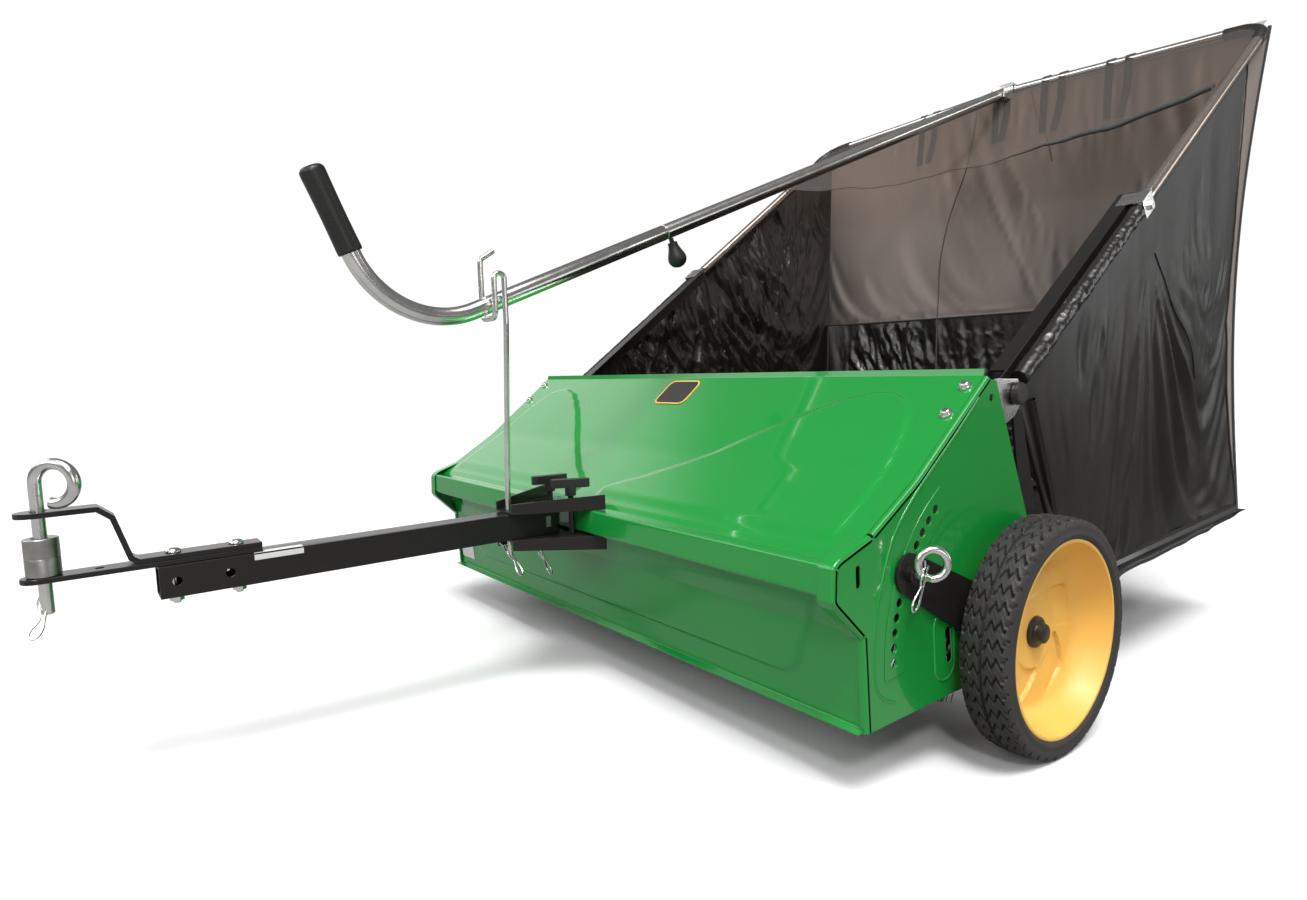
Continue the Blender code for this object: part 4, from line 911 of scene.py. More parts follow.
def build_hitch():
    height = STRAP_TOP_Z
    out, loop_radius = Vector((0.6, 0.8, 0)), 0.0215
    centre = Vector((0, HITCH_PIN_Y, height + 0.0300)) + loop_radius * out
    path = [Vector((0, HITCH_PIN_Y, TUBE_TOP_Z - 0.0362)), Vector((0, HITCH_PIN_Y, TUBE_TOP_Z - 0.0345))]
    path += [Vector((0, HITCH_PIN_Y, height + h)) for h in (0.010, 0.020)]
    path += loop_end(centre, loop_radius, out, Vector((0, 0, 1)), 285)
    pin = sweep(path, [0.0052, *[0.0065] * (len(path) - 1)], 28)
    body = "hitch_pin_body"
    add("hitch_pin_bent", pin, "zinc", body, ("hitch_pin",), ON_HITCH, bevel=0.0005)
    clip_at = (0, HITCH_PIN_Y, TUBE_TOP_Z - 0.026)
    clip = hair_clip(clip_at, 0.0065, (0, 0, 1), (0.66, -0.20, -0.72), (-0.29, -0.957, 0))
    add("hitch_pin_hair_clip", clip, "zinc", body, ("hitch_pin_clip",), ON_HITCH)

    low = TUBE_TOP_Z + 0.0066
    high = low + 0.042
    ring = [(0.0085, low + 0.001), (0.0093, low), (0.0155, low), (0.0165, low + 0.001)]
    ring += [(0.0165, low + 0.0195), (0.0161, low + 0.0205), (0.0165, low + 0.0215)]
    ring += [(0.0165, high - 0.001), (0.0155, high), (0.0093, high), (0.0085, high - 0.001)]
    spacer = revolve(ring, 64, upright(HITCH_PIN_Y))
    add("hitch_spacer_turned", spacer, "steel", "hitch", ("hitch_spacer",), ON_HITCH)

    top, below = TUBE_TOP_Z + 0.0129, TUBE_TOP_Z - TUBE_SIZE - 0.0003
    head = [(0.0040, top), (0.0086, top), (0.0084, top + 0.0014), (0.0068, top + 0.0038)]
    head += [(0.0040, top + 0.0052), (0, top + 0.0056), (0, top)]
    shank = [(0, below - 0.0100), (0.0034, below - 0.0100), (0.0040, below - 0.0094), (0.0040, top), (0, top)]
    washer = [(0.0041, below - 0.0012), (0.0086, below - 0.0012), (0.0086, below), (0.0041, below)]
    for name, y in (("front", -0.886), ("rear", -0.819)):
        place = upright(y)
        nut = prism(circle((0, y), 0.0078, 6, 0.3), below - 0.0070, below - 0.0012, "Z")
        ends = revolve(head, 32, place), revolve(shank, 24, place)
        bolt = together(*ends, nut, revolve(washer, 32, place))
        node = f"strap_bolt_{name}"
        add(f"{node}_threaded", bolt, "zinc", "hitch", (node,), ON_HITCH, bevel=0.0004)

    y, x, hook_y, trough_z = -0.449, 0.0218, -0.465, 0.5685
    points = [
        (0, y, 0.2130),
        (0, y, 0.305),
        (x, y, 0.5600),
        (x, y, 0.6320),
        (x, hook_y, 0.6320),
        (x, hook_y, trough_z),
        (-0.0210, hook_y, trough_z),
        (-0.0210, hook_y, 0.6560),
        (-0.0210, y + 0.006, 0.6700),
    ]
    path = rounded(points, (0.05, 0.05, 0.007, 0.007, 0.010, 0.010, 0.008), segments=8)
    rod_shape = sweep(path, 0.0040, 18)
    add("rest_rod_bent", rod_shape, "zinc", "hitch", ("handle_rest_rod",), ON_HITCH, bevel=0.0006)
    clip = hair_clip((0, y, 0.2185), 0.004, (0, 0, 1), (0.60, 0.25, -0.76), (0.385, -0.923, 0))
    add("rest_rod_hair_clip", clip, "zinc", "hitch", ("rest_rod_clip",), ON_HITCH)

    stub = rod((0, -0.398, 0.2075), (0, -0.398, 0.2175), 0.0040)
    clip = hair_clip((0, -0.398, 0.2130), 0.004, (0, 0, 1), (0.42, 0.30, -0.86), (0.58, -0.81, 0))
    add("draw_tube_pin_end", together(stub, clip), "zinc", "hitch", (), ON_HITCH, bevel=0.0003)

    edge, top, skin = TUBE_SIZE / 2, TUBE_TOP_Z, 0.0003
    section = [(0.0060, top + 0.0001), (edge - 0.0022, top + 0.0001), (edge + 0.0001, top - 0.0024)]
    section += [(edge + 0.0001, top - 0.0085), (edge + skin, top - 0.0085), (edge + skin, top - 0.0022)]
    section += [(edge - 0.0020, top + skin), (0.0060, top + skin)]
    add("draw_tube_label", prism(section, -0.803, -0.746, "Y"), "label", "hitch", (), ON_HITCH)
    face = [(-0.396, 0.2520), (-0.388, 0.2520), (-0.388, 0.2690), (-0.396, 0.2690)]
    plug = prism(face, 0.0190, 0.0196)
    add("draw_tube_plug", plug, "steel", "hitch", (), ON_HITCH, bevel=0.0003)


def build_lock_pin(side, sign):
    y, z = hole_place(5)
    start, end = Vector((PLATE_OUTER_X + 0.0007, y, z)), Vector((0.5800, y, z))
    out, up, loop_radius = Vector((0.6, 0.8, 0)), Vector((0, 0, 1)), 0.0163
    path = [start, start + Vector((0.0012, 0, 0)), end - Vector((0.006, 0, 0))]
    path += loop_end(end + up * loop_radius, loop_radius, up, out, 305)
    radii = [0.0034, *[0.0045] * (len(path) - 1)]
    body = f"lock_pin_{side}_body"
    pin = sweep(path, radii, 24)
    add(f"lock_pin_bent_{side}", pin, "zinc", body, (f"lock_pin_{side}",), sign=sign, bevel=0.0004)
    clip = hair_clip((0.5710, y, z), 0.0045, (1, 0, 0), (0, -0.35, -0.94), (0, -0.94, 0.35))
    add(f"lock_pin_hair_clip_{side}", clip, "zinc", body, (f"lock_pin_clip_{side}",), sign=sign)


# Dump handle.


HANDLE_SLOPE = 0.4307
HANDLE_JOINT = Vector((0, -0.155, 0.723))
HANDLE_BEND = Vector((0, -0.6172, 0.5239))
HANDLE_RADIUS = 0.0127


def handle_point(y):
    return Vector((0, y, HANDLE_JOINT.z + (y - HANDLE_JOINT.y) * HANDLE_SLOPE))


def build_handle():
    joint_y = HANDLE_JOINT.y
    rear = [handle_point(y) for y in (joint_y + 0.0025, joint_y + 0.0030, 0.8915, 0.8920)]
    radii = [0.0121, HANDLE_RADIUS, HANDLE_RADIUS, 0.0121]
    add("handle_tube_rear", sweep(rear, radii, 40, 0.0111), "zinc", "handle", ("handle_rear_tube",))
    direction = Vector((0, -0.42, 0.907)).normalized()
    top = HANDLE_BEND + direction * 0.236
    path = rounded([top, HANDLE_BEND, handle_point(joint_y)], (0.1316,), segments=32)
    radii = [HANDLE_RADIUS] * len(path)
    path += [handle_point(joint_y + 0.0010), handle_point(joint_y + 0.0022), handle_point(joint_y + 0.050)]
    radii += [0.0121, 0.0104, 0.0104]
    tube = sweep(path, radii, 40, 0.0090)
    add("handle_tube_front", tube, "zinc", "handle", ("handle_front_tube",), angle=50)
    foot, length = top - direction * 0.108, 0.114
    bore, size = HANDLE_RADIUS + 0.0003, 0.0165
    grip = [(bore, 0), (size - 0.0012, 0), (size - 0.0003, 0.0012), (size, 0.0035)]
    grip += [(size - 0.0006 * math.sin(math.pi * t), 0.004 + 0.098 * t) for t in np.linspace(0, 1, 9)]
    for i in range(9):
        a = math.pi / 2 * i / 8
        grip.append((size - 0.008 + 0.008 * math.cos(a), length - 0.008 + 0.008 * math.sin(a)))
    grip += [(0.0060, length), (0, length), (0, 0.1083), (bore, 0.1083)]
    shape = revolve(grip, 48, along(foot, direction))
    add("handle_grip_moulded", shape, "black_plastic", "handle", ("handle_grip",), angle=60)
    down = Vector((0, HANDLE_SLOPE, -1)).normalized()
    clear = HANDLE_RADIUS + 0.0003
    knob = [(0, clear), (0.0040, clear), (0.0040, 0.0200), (0.0078, 0.0203), (0.0084, 0.0215)]
    for t in np.linspace(0, 1, 22):
        bulge = math.sqrt(max(0.0, 1 - max(0.0, (t - 0.62) / 0.38) ** 2))
        knob.append(((0.0084 + 0.0078 * eased(t, 0.0, 0.66)) * bulge, 0.0225 + 0.0415 * t))
    knob[-1] = (0, knob[-1][1])
    shape = revolve(knob, 48, along(handle_point(joint_y + 0.012), down))
    add("handle_ball_knob", shape, "black_plastic", "handle_knob_body", ("handle_knob",), angle=50)


# Hopper frame and bag.


def build_hopper_frame():
    flip = Vector((-1, 1, 1))
    corners = [FRAME_FRONT, FRAME_CORNER, FRAME_TOP, FRAME_CORNER * flip, FRAME_FRONT * flip]
    path = resampled(rounded(corners, (0.060, 0.60, 0.060), segments=14), 0.05)
    tube = sweep(path, FRAME_RADIUS, 28, 0.0080)
    add("hopper_tube_upper", tube, "zinc", "hopper", ("hopper_upper_frame",))


def drape(u, v, seed, wide, fine, crumple, waves=7.0):
    """Cloth folds that run along v: a broad wave, finer gathers and a crumple, in metres."""
    warp = 0.35 * noise.noise((v * 1.6, seed, 0.0))
    wave = wide * noise.noise(((u + 0.06 * warp) * waves, v * 0.8, seed))
    ridge = 1 - abs(noise.noise(((u + 0.05 * warp) * waves * 1.7, v * 1.1, seed + 9)) * 2)
    rough = noise.turbulence((u * waves * 3, v * 9, seed + 3), 4, True)
    return wave + fine * (ridge - 0.5) + crumple * (rough - 0.5)


def cloth_grid(rows, columns, place):
    """An array of points place(u, v), with u along each row and v down the rows."""
    grid = np.zeros((rows, columns, 3))
    for i, v in enumerate(np.linspace(0, 1, rows)):
        for k, u in enumerate(np.linspace(0, 1, columns)):
            grid[i, k] = place(u, v)
    return grid


DRAPE_FRAMES = 26


def draped(grid, larger, stiffness, reach):
    """The grid after cloth simulation. Its edges stay, and the cloth is cut larger than its place by these
    shares of x, y and z, so that it hangs in folds. No point moves by more than reach."""
    rows, columns = grid.shape[:2]
    number = np.arange(rows * columns).reshape(rows, columns)
    corners = [number[:-1, :-1], number[:-1, 1:], number[1:, 1:], number[1:, :-1]]
    faces = np.stack(corners, axis=-1).reshape(-1, 4)
    held = np.ones((rows, columns), bool)
    held[1:-1, 1:-1] = False
    mesh = bpy.data.meshes.new("draping")
    mesh.from_pydata(grid.reshape(-1, 3).tolist(), [], faces.tolist())
    cloth = place_object("draping", mesh)
    cloth.vertex_groups.new(name="held").add(number[held].ravel().tolist(), 1.0, "REPLACE")
    cloth.shape_key_add(name="placed")
    pattern = cloth.shape_key_add(name="pattern")
    pattern.data.foreach_set("co", (grid.reshape(-1, 3) * (1 + np.array(larger))).ravel())
    simulation = cloth.modifiers.new("drape", "CLOTH")
    settings = simulation.settings
    settings.quality = 6
    settings.mass = 0.35
    settings.tension_stiffness = settings.compression_stiffness = 40
    settings.shear_stiffness = 12
    settings.bending_stiffness = stiffness
    settings.vertex_group_mass = "held"
    settings.rest_shape_key = pattern
    simulation.collision_settings.use_collision = False
    simulation.point_cache.frame_start, simulation.point_cache.frame_end = 1, DRAPE_FRAMES
    scene = bpy.context.scene
    for frame_number in range(1, DRAPE_FRAMES + 1):
        scene.frame_set(frame_number)
    evaluated = cloth.evaluated_get(bpy.context.evaluated_depsgraph_get())
    moved = np.empty(len(mesh.vertices) * 3, np.float32)
    evaluated.data.vertices.foreach_get("co", moved)
    scene.frame_set(1)
    bpy.data.objects.remove(cloth)
    bpy.data.meshes.remove(mesh)
    move = moved.reshape(grid.shape) - grid
    size = np.linalg.norm(move, axis=2, keepdims=True)
    return grid + move * (reach * np.tanh(size / reach) / np.maximum(size, 1e-9))


def finer(grid):
    """The grid with a cubic in-between point after each point, along each way."""
    for axis in (0, 1):
        lines = np.moveaxis(grid, axis, 0)
        ends = np.concatenate([2 * lines[:1] - lines[1:2], lines, 2 * lines[-1:] - lines[-2:-1]])
        made = np.empty((2 * len(lines) - 1, *lines.shape[1:]))
        made[::2] = lines
        made[1::2] = (9 * (ends[1:-2] + ends[2:-1]) - ends[:-3] - ends[3:]) / 16
        grid = np.moveaxis(made, 0, axis)
    return grid


def crinkled(grid, seed, height, pitch):
    """The grid with patches of sharp creases, mostly upright, along its normals. Its edges stay."""
    normal = np.cross(np.gradient(grid, axis=0), np.gradient(grid, axis=1))
    normal /= np.maximum(np.linalg.norm(normal, axis=2, keepdims=True), 1e-9)
    rows, columns = grid.shape[:2]
    push = np.zeros((rows, columns, 1))
    for i in range(rows):
        for k in range(columns):
            x, y, z = grid[i, k]
            patch = float(eased(noise.noise((x * 5 + seed, y * 5, z * 3)), -0.20, 0.25))
            across, down = (x + y + 0.4 * z) / pitch, z * 0.5 / pitch
            bend = noise.noise((across * 0.5, down * 0.5, seed + 5))
            broad = 1 - abs(2.6 * noise.noise((across + bend, down * 0.6, seed)))
            fine = 1 - abs(2.6 * noise.noise((across * 2.3 + bend, down * 1.3, seed + 2)))
            held = min(1, i / 5, (rows - 1 - i) / 5, k / 5, (columns - 1 - k) / 5)
            push[i, k] = held * patch * (broad + 0.45 * fine)
    return grid + normal * push * height


def bag_bottom(y):
    return 0.157 + (y - 0.150) * 0.079


FRAME_SLOPE = 0.78044
CLAMP_Y, CLAMP_Z = 0.408, 0.696
FAN_FOLDS = (
    (-43, 4.0, 0.007),
    (-27, 5.0, 0.008),
    (-9, 2.6, 0.013),
    (8, 3.5, 0.007),
    (19, 3.0, 0.006),
    (30, 2.8, 0.013),
    (42, 3.2, 0.012),
    (54, 4.0, 0.006),
    (68, 7.0, 0.014),
    (86, 6.0, 0.010),
)


def fan(y, z):
    """Folds that spread from the arm's clamp, each with an angle from straight down, a width in degrees and
    a height."""
    angle = math.degrees(math.atan2(y - CLAMP_Y, CLAMP_Z - z)) + 5 * noise.noise((y * 4, z * 4, 7.0))
    grown = float(eased(math.hypot(y - CLAMP_Y, z - CLAMP_Z), 0.01, 0.26))
    return grown * sum(high * math.exp(-(((angle - at) / wide) ** 2)) for at, wide, high in FAN_FOLDS)


def corner_pull(z):
    """How far the bag's rear corner is drawn in from the frame's corner at this height."""
    share = min(1, max(0, (FRAME_CORNER.z - z) / (FRAME_CORNER.z - HEM_REAR_Z)))
    return 0.004 + 0.008 * share + 0.021 * math.sin(math.pi * share)


def side_place(u, v, seed, crumple):
    """A point of a side panel: u from the front edge to the rear corner, v from the tube down to the hem."""
    top = Vector((0, BAG_FRONT_Y + u * (BAG_WALL_Y - BAG_FRONT_Y), 0))
    top.z = FRAME_FRONT.z + (top.y - FRAME_FRONT.y) * FRAME_SLOPE - 0.0100
    low = Vector((0, HEM_FRONT_Y + u * (BAG_WALL_Y - HEM_FRONT_Y), 0))
    low.z = bag_bottom(low.y)
    point = top.lerp(low, v)
    point.y -= 0.006 * math.sin(math.pi * v) * (1 - u) ** 4
    pull = corner_pull(point.z)
    hold = min(1, 7 * v) * min(1, 0.35 + 5 * (1 - v)) * min(1, 6 * u) * min(1, 8 * (1 - u))
    folds = drape(u, v, seed, 0.008, 0.004, crumple, 5.0) + fan(point.y, point.z) - 0.006
    sag = 0.012 * math.sin(math.pi * v) * math.sin(math.pi * u)
    point.x = BAG_WALL_X - pull * u**3 - sag + hold * folds
    point.x -= 0.010 * (1 - u) ** 12 * (1 - v) ** 4
    point.y -= 1.2 * pull * u**4
    return point


def screen_split(u, v):
    """True on the strip of screen that wraps round the rear corner."""
    return 1 - u < 0.105 * (1 - v) ** 0.8 + 0.012 * math.sin(9 * v) * (1 - v)


def rear_place(u, v, low, high, seed, wide, fine, crumple, slant):
    """A point of the rear wall between two heights. With no high, it leans back to meet the cross tube."""
    side = 2 * u - 1
    share = abs(side) * BAG_WALL_X / FRAME_X
    top = high if high is not None else CROSS_TUBE_Z - CROSS_TUBE_DROP * share - 0.006
    z = top + (low - top) * v
    pull = corner_pull(z)
    lean = eased(z, 0.98, 1.18) * (0.0165 * (1 - share) + 0.001)
    hold = min(1, 8 * v + 0.25) * min(1, 9 * (1 - v) + 0.2) * min(1, 9 * u) * min(1, 9 * (1 - u))
    sag = 0.012 * math.sin(math.pi * u) * eased(1.1 - z, 0.1, 0.5)
    folds = hold * drape(u + slant * v, v, seed, wide, fine, crumple, 10.0)
    x = side * (BAG_WALL_X - pull * side * side)
    return Vector((x, BAG_WALL_Y + lean + folds + sag - 1.2 * pull * abs(side) ** 5, z))


def cross_tube(x):
    """The cross tube's centre line."""
    share = abs(x) / FRAME_X
    bow = 1.1 * (math.sqrt(share * share + 0.01) - 0.1)
    return Vector((x, CROSS_TUBE_Y - 0.031 * bow, CROSS_TUBE_Z - CROSS_TUBE_DROP * bow - 0.0012))


def top_place(u, v):
    """A point of the sagging top screen: v runs from the cross tube to the front hem."""
    x = (2 * u - 1) * (FRAME_X - 0.002)
    share = abs(x) / FRAME_X
    start = cross_tube(x) + Vector((0, -0.004, FRAME_RADIUS * 0.9))
    ends = Vector((x, 0.678 - 0.014 * x / FRAME_X, 1.006 - 0.013 * x / FRAME_X))
    middle = Vector((x, 0.742 + 0.010 * math.sin(9 * u), 0.970 + 0.004 * math.sin(13 * u)))
    hem = middle.lerp(ends, share**2.2)
    point = start.lerp(hem, v)
    hold = min(1, 6 * v) * min(1, 8 * u) * min(1, 8 * (1 - u))
    point.z -= 0.020 * math.sin(math.pi * v) * (1 - share**2)
    point.z += hold * drape(u, v, 21.0, 0.014, 0.006, 0.002, 6.0)
    return point


def strap(points, width):
    """A flat band through these points, this wide along x."""
    across = Vector((1, 0, 0)) * width / 2
    grid = np.array([[p - across, p, p + across] for p in spline(points, 6)], float)
    return shell(grid, 0.0013)


HEM_RADIUS = 0.0064
DART = ((0.424, 0.678), (0.470, 0.637), (0.518, 0.597), (0.568, 0.560), (0.606, 0.525), (0.640, 0.480))


def on_cloth(grid, line):
    """The grid's points nearest to these (y, z) places, just clear of the cloth."""
    points = grid.reshape(-1, 3)
    nearest = [np.argmin((points[:, 1] - y) ** 2 + (points[:, 2] - z) ** 2) for y, z in line]
    return moved_by(points[nearest], (0.0006, 0, 0))


def moved_by(points, offset=(0, 0, 0)):
    return [Vector(p) + Vector(offset) for p in points]


def build_side_panel(side, sign):
    if sign > 0:
        seed, crumple, larger, stiffness = 4.0, 0.001, (0, 0.012, 0.006), 2.5
    else:
        seed, crumple, larger, stiffness = 11.0, 0.009, (0, 0.030, 0.030), 0.3
    coarse = cloth_grid(84, 120, lambda u, v: side_place(u, v, seed, crumple))
    grid = draped(coarse, larger, stiffness, 0.020)
    x, y, z = grid[..., :1], grid[..., 1:2], grid[..., 2:]
    near_wheel = (1 - eased(y, 0.20, 0.30)) * (1 - eased(z, 0.34, 0.42))
    outward = np.maximum(x - BAG_X - 0.004, 0) * near_wheel
    grid, look = finer(np.concatenate([x - outward, y, z], axis=2)), "vinyl"
    if sign < 0:
        grid, look = crinkled(grid, seed, 0.0085, 0.046), "vinyl_gloss"
    rows, columns = grid.shape[:2]
    us, vs = np.linspace(0, 1, columns), np.linspace(0, 1, rows)
    piece = add(f"bag_side_{side}", shell(grid, 0.0012), look, "hopper", sign=sign, angle=80)
    piece.data.materials.append(LOOKS["screen_mesh"])
    for number in range(2 * (rows - 1) * (columns - 1) if sign > 0 else 0):
        i, k = divmod(number // 2, columns - 1)
        if screen_split(us[k], vs[i]):
            piece.data.polygons[number].material_index = 1
    seam = []
    for i in range(0, rows, 4):
        k = round((1 - 0.105 * (1 - vs[i]) ** 0.8) * (columns - 1))
        seam.append(grid[i, k])
    lines = {
        "bag_seam_side": (moved_by(seam, (0.0008, 0, 0)), 0.0014, "webbing"),
        "bag_seam_rear": (moved_by(grid[::3, -1]), 0.0034, "webbing"),
        "bag_hem_front": (moved_by(grid[::3, 0]), 0.0036, "vinyl"),
        "bag_hem_side": (moved_by(grid[-1, ::3], (0.0004, 0, 0.003)), HEM_RADIUS, "vinyl"),
        "bag_dart_side": (spline(on_cloth(grid, DART), 5), 0.0013, "webbing"),
    }
    for name, (path, radius, look) in lines.items():
        add(f"{name}_{side}", sweep(path, radius, 12), look, "hopper", sign=sign)


def build_rear_wall():
    low, edge = bag_bottom(BAG_WALL_Y), SCREEN_FROM_Z - 0.001
    sheets = (
        ((64, 130), (low, SCREEN_FROM_Z, 31.0, 0.008, 0.009, 0.008, -0.06), (0.030, 0, 0.030), 0.3, 0.022),
        ((46, 96), (edge, None, 31.5, 0.008, 0.0025, 0.0010, -0.22), (0.010, 0, 0.010), 0.5, 0.012),
    )
    grids = []
    for size, values, larger, stiffness, reach in sheets:
        coarse = cloth_grid(*size, lambda u, v: rear_place(u, v, *values))
        grids.append(finer(draped(coarse, larger, stiffness, reach)))
    lower, upper = crinkled(grids[0], 31.0, 0.0080, 0.040), grids[1]
    add("bag_rear_lower", shell(lower, 0.0012), "vinyl_gloss", "hopper", ("bag_body",), angle=80)
    add("bag_screen_rear", shell(upper, 0.0008), "screen_mesh", "hopper", ("bag_rear_screen",), angle=80)
    seam = moved_by(lower[0, ::4], (0, -0.0012, 0))
    add("bag_seam_screen", sweep(seam, 0.0022, 8), "webbing", "hopper")
    hem = moved_by(lower[-1, ::4], (0, -0.001, 0.003))
    hem = [hem[0] - Vector((0.010, 0, 0)), *hem, hem[-1] + Vector((0.010, 0, 0))]
    add("bag_hem_rear", sweep(hem, HEM_RADIUS, 12), "vinyl", "hopper")


def floor_place(u, v):
    """A point of the bag's floor: v runs from the front hem to the rear wall."""
    y = HEM_FRONT_Y + v * (BAG_WALL_Y - HEM_FRONT_Y)
    sag = 0.006 * math.sin(math.pi * u) * math.sin(math.pi * v)
    z = bag_bottom(y) + 0.0035 - sag + drape(u, v, 41.0, 0.004, 0.002, 0.002)
    return Vector(((2 * u - 1) * (BAG_X - 0.005), y, z))


STRAP_XS = (-0.226, -0.190, -0.023, 0.004, 0.098, 0.138, 0.245, 0.285)
CORDS = (
    (
        *((-0.070, 0.898, 1.165), (-0.084, 0.893, 1.060), (-0.097, 0.888, 0.997), (-0.134, 0.884, 0.894)),
        *((-0.155, 0.882, 0.791), (-0.157, 0.880, 0.690), (-0.155, 0.874, 0.604), (-0.148, 0.866, 0.470)),
    ),
    ((0.062, 0.905, 1.165), (0.084, 0.893, 1.100), (0.112, 0.888, 1.040), (0.128, 0.886, 0.985)),
)


def build_bag():
    for side, sign in SIDES:
        build_side_panel(side, sign)
        build_sleeve(side, sign)
    build_rear_wall()
    floor = shell(cloth_grid(60, 90, floor_place), SHEET)
    add("bag_floor", floor, "vinyl", "hopper", angle=80)
    top = finer(draped(cloth_grid(34, 90, top_place), (0.010, 0.006, 0), 0.3, 0.016))
    add("bag_screen_top", shell(top, 0.0008), "screen_thin", "hopper", ("bag_top_screen",), angle=80)
    hem = moved_by(top[-1, ::4])
    thick = [0.0014 + 0.0058 * float(eased(i / (len(hem) - 1), 0.55, 0.80)) for i in range(len(hem))]
    add("bag_hem_top", sweep(hem, thick, 10, squash=0.6), "webbing", "hopper")
    for number, x in enumerate(STRAP_XS):
        hang = (0.006 * (-1) ** number, -0.030, -0.125)
        band = ((0, 0.0105, 0.002), (0, 0, 0.0112), (0, -0.0112, 0), (0, -0.016, -0.060), hang)
        points = [cross_tube(x) + Vector(p) for p in band]
        add(f"bag_strap_{number + 1}", strap(points, 0.017), "webbing", "hopper", angle=60)
    for number, points in enumerate(CORDS):
        add(f"bag_cord_{number + 1}", sweep(spline(points, 8), 0.0016, 8), "cord", "hopper")


def build_sleeve(side, sign):
    """The bag's sleeve round the side tube: puckered cloth below the arm's clamp, tight screen above it."""
    direction = (FRAME_CORNER - FRAME_FRONT).normalized()
    clamp_at = 0.4365
    parts = (
        ("lower", -0.008, clamp_at - 0.034, "vinyl_gloss", 0.0020, 0.0021),
        ("upper", clamp_at + 0.026, 1.030, "screen_thin", 0.0012, 0.0010),
    )
    for name, start, end, look, gap, pucker in parts:
        count = int((end - start) / 0.003)
        path, radii = [], []
        for i in range(count + 1):
            t = start + (end - start) * i / count
            gathers = abs(noise.noise((t * 110, 2.0 * sign, 0)))
            gathers += 0.6 * noise.noise((t * 24, 5.0 * sign, 0))
            path.append(FRAME_FRONT + direction * t + Vector((gap * 0.8, 0, -gap * 0.6)))
            radii.append(FRAME_RADIUS + gap + pucker * 0.6 * gathers)
        sleeve = sweep(path, radii, 36)
        for vertex in sleeve.verts:
            at = vertex.co
            place = (at.x * 55, at.y * 60, at.z * 60 + sign * 7)
            rumple = noise.turbulence(place, 3, False) * pucker
            if at.x > FRAME_X - 0.004:
                at.x += rumple
            at.z -= abs(rumple) * 0.5
        add(f"bag_sleeve_{name}_{side}", sleeve, look, "hopper", sign=sign, angle=80)
    corner = rounded([FRAME_FRONT, FRAME_CORNER, FRAME_TOP], (0.060,), segments=14)
    bend = [Vector(p) for p in resampled(corner, 0.006) if math.dist(p, FRAME_CORNER) < 0.075]
    radii = [FRAME_RADIUS + 0.0016 + 0.0012 * abs(noise.noise((i * 0.9, sign, 0))) for i in range(len(bend))]
    add(f"bag_corner_{side}", sweep(bend, radii, 28), "vinyl", "hopper", sign=sign, angle=80)


# Plates.


def rounded_box(width, height, corner):
    points = []
    for number, (x, y) in enumerate(((1, 1), (-1, 1), (-1, -1), (1, -1))):
        for px, py in arc_of(number * math.pi / 2, corner):
            points.append((x * (width / 2 - corner) + px, y * (height / 2 - corner) + py))
    return points


def arc_of(start, radius, segments=6):
    turns = [start + math.pi / 2 * i / segments for i in range(segments + 1)]
    return [(radius * math.cos(a), radius * math.sin(a)) for a in turns]


def on_panel(centre, normal):
    """The matrix that lays a plate drawn in x and y on a panel with this (y, z) normal."""
    up, out = Vector((0, -normal[1], normal[0])), Vector((0, *normal))
    turn = Matrix(((1, 0, 0), -up if up.z < 0 else up, out)).transposed()
    return Matrix.Translation(centre) @ turn.to_4x4()


def build_label_plates():
    """A plain badge on the cover and a blank label on the apron."""
    on_cover = on_panel((-0.0254, -0.1022, 0.4542), COVER_NORMAL)
    on_apron = on_panel((-0.5020, -0.2917, 0.1140), (-0.9927, -0.1204))
    hole = [rounded_box(0.078, 0.056, 0.011)]
    plates = (
        ("badge_rim", (0.084, 0.062, 0.014), 0.0016, hole, on_cover, "yellow_plastic", 0.0003),
        ("badge_face", (0.079, 0.057, 0.0115), 0.0011, (), on_cover, "black_plastic", 0.0003),
        ("apron_label", (0.058, 0.029, 0.002), 0.0004, (), on_apron, "label", 0.0),
    )
    for name, size, height, holes, place, look, bevel in plates:
        shape = prism(rounded_box(*size), 0.0001, height, "Z", holes=holes)
        shape.transform(place)
        add(name, shape, look, "housing", bevel=bevel)


# Stage, lights and camera.

SKY_LEVEL = 0.16
# Each glow has a direction, the cosines of the angles where it starts and is full, and a strength.
SKY_GLOWS = (
    ((-0.960, 0.060, 0.270), 0.895, 0.955, 0.85),
    ((0.740, 0.660, 0.060), 0.965, 0.9925, 1.10),
    ((0.990, -0.080, 0.100), 0.960, 0.990, 1.80),
    ((0.10, -0.75, 0.65), 0.820, 0.960, 0.60),
    ((-0.60, -0.60, 0.53), 0.930, 0.980, 2.00),
    ((0.40, -0.12, 0.90), 0.900, 0.975, 3.60),
)


def stage_floor():
    """A pale floor. Only the camera sees its full brightness, so that it lights the object less."""
    shape = bmesh.new()
    size = 30.0
    corners = ((-size, -size, 0), (size, -size, 0), (size, size, 0), (-size, size, 0))
    shape.faces.new([shape.verts.new(corner) for corner in corners])
    floor = place_object("studio_floor", mesh_of("studio_floor", shape))
    n = new_look("studio_floor")
    bright = n.mix(n.noise(0.8), (0.965, 0.965, 0.965), (0.975, 0.975, 0.975))
    beyond = n.vectors("DOT_PRODUCT", n.place, (0.79, 0.61, 0))
    dim = n.mix(n.span(beyond, 0, 1, 0.6, 2.4), (0.33, 0.33, 0.33), (0.07, 0.07, 0.07))
    seen = n.add("ShaderNodeLightPath").outputs["Is Camera Ray"]
    n.set(Base_Color=n.mix(seen, dim, bright), Roughness=0.8, Specular_IOR_Level=0.0)
    floor.data.materials.append(n.owner)


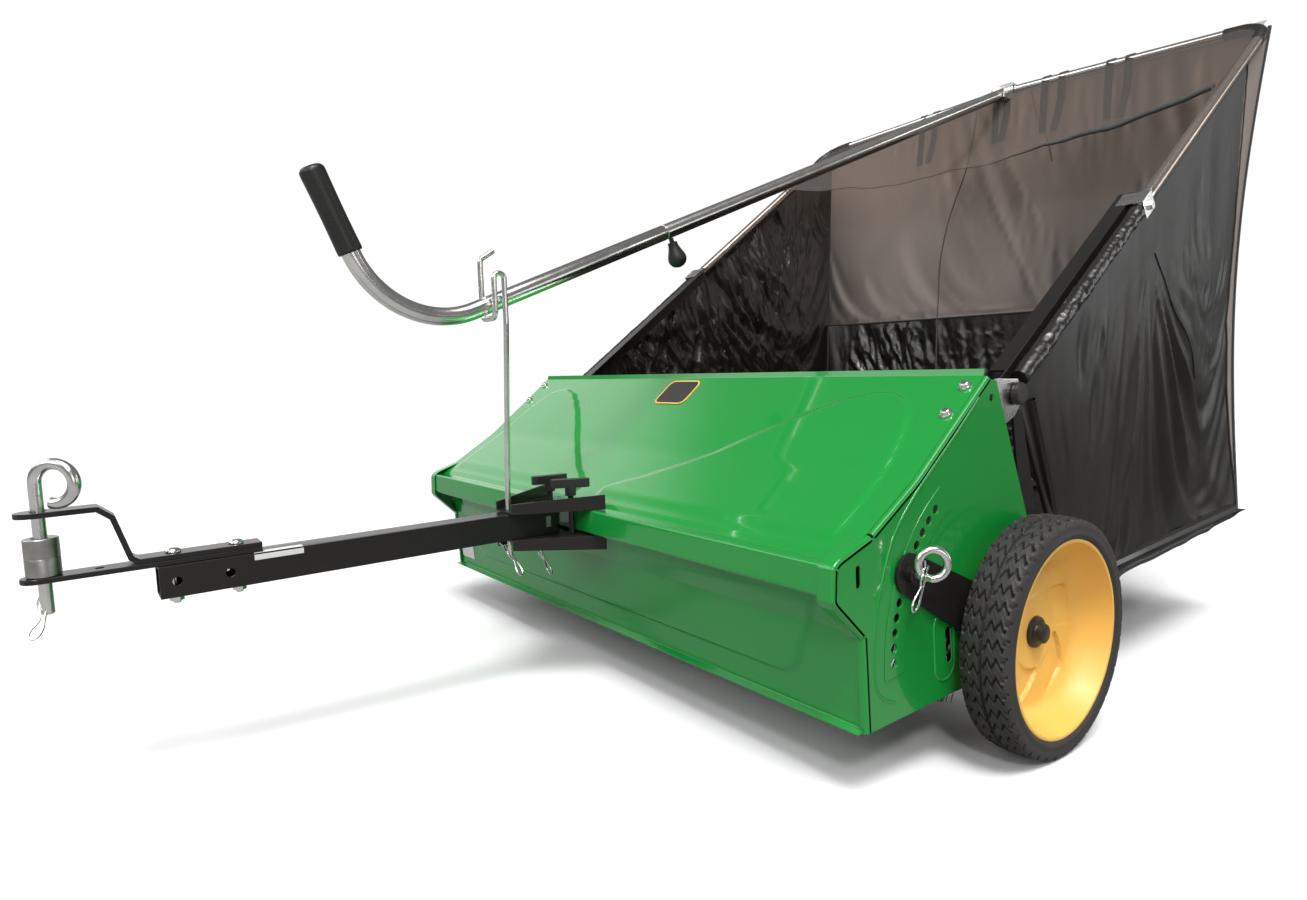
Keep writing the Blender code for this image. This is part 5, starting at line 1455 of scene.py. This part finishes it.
def add_box_light(name, place, aim, size_x, size_y, power):
    light = bpy.data.lights.new(name, "AREA")
    light.shape = "RECTANGLE"
    light.size, light.size_y = size_x, size_y
    light.energy = power
    holder = place_object(name, light)
    holder.location = place
    holder.rotation_euler = (Vector(aim) - Vector(place)).to_track_quat("-Z", "Y").to_euler()


def light_studio():
    """A soft key from above right, and a dim sky with glows that the paint and the cloth mirror. The camera
    sees plain white."""
    world = bpy.data.worlds.new("studio")
    sky = Nodes(world, "Generated")
    level = SKY_LEVEL
    for aim, edge, core, strength in SKY_GLOWS:
        towards = sky.vectors("DOT_PRODUCT", sky.place, Vector(aim).normalized())
        glow = sky.span(towards, 0.0, strength, edge, core, "SMOOTHSTEP")
        level = sky.math("ADD", glow, level)
    dim = sky.tree.nodes["Background"]
    sky.feed(dim.inputs["Strength"], level)
    sky.feed(dim.inputs["Color"], (1.0, 1.0, 1.0))
    white = sky.add("ShaderNodeBackground", Color=(1.02, 1.02, 1.02))
    sky.show(sky.add("ShaderNodeLightPath").outputs["Is Camera Ray"], dim, white)
    bpy.context.scene.world = world
    bpy.context.scene.view_settings.view_transform = "Standard"

    sun = bpy.data.lights.new("key", "SUN")
    sun.energy, sun.angle = 1.6, math.radians(17)
    turn = Vector((0.38, -0.30, 1.0)).to_track_quat("Z", "Y").to_euler()
    place_object("key", sun).rotation_euler = turn
    add_box_light("front_box", (0.6, -4.6, 2.4), (0.0, 0.0, 0.4), 2.6, 1.6, 26)
    add_box_light("rear_box", (2.6, 4.2, 1.8), (0.4, 0.6, 0.7), 0.6, 2.4, 16)
    add_box_light("crease_light", (2.4, -2.0, 2.2), (-0.3, 0.6, 0.5), 0.35, 0.35, 22)


def add_camera():
    camera = bpy.data.cameras.new("camera")
    camera.sensor_width = 36.0
    camera.lens = 36.0 * 802.1 / 1307
    camera.shift_x, camera.shift_y = -0.0006, -0.0028
    holder = place_object("camera", camera)
    forward, right, up = (-0.7945, 0.6023, -0.0769), (0.6041, 0.7969, 0.0), (-0.0613, 0.0465, 0.9970)
    turn = Matrix((right, up, [-a for a in forward])).transposed().to_4x4()
    holder.matrix_world = Matrix.Translation((1.088, AXLE_Y - 0.998, 0.4685)) @ turn
    bpy.context.scene.camera = holder


dress_cad()
build_cover()
build_apron()
build_brush()
for side, sign in SIDES:
    build_side_plate(side, sign)
    build_tyre(side, sign)
    build_rim(side, sign)
    build_lock_pin(side, sign)
build_hitch()
build_handle()
build_hopper_frame()
build_bag()
build_label_plates()
stage_floor()
light_studio()
add_camera()
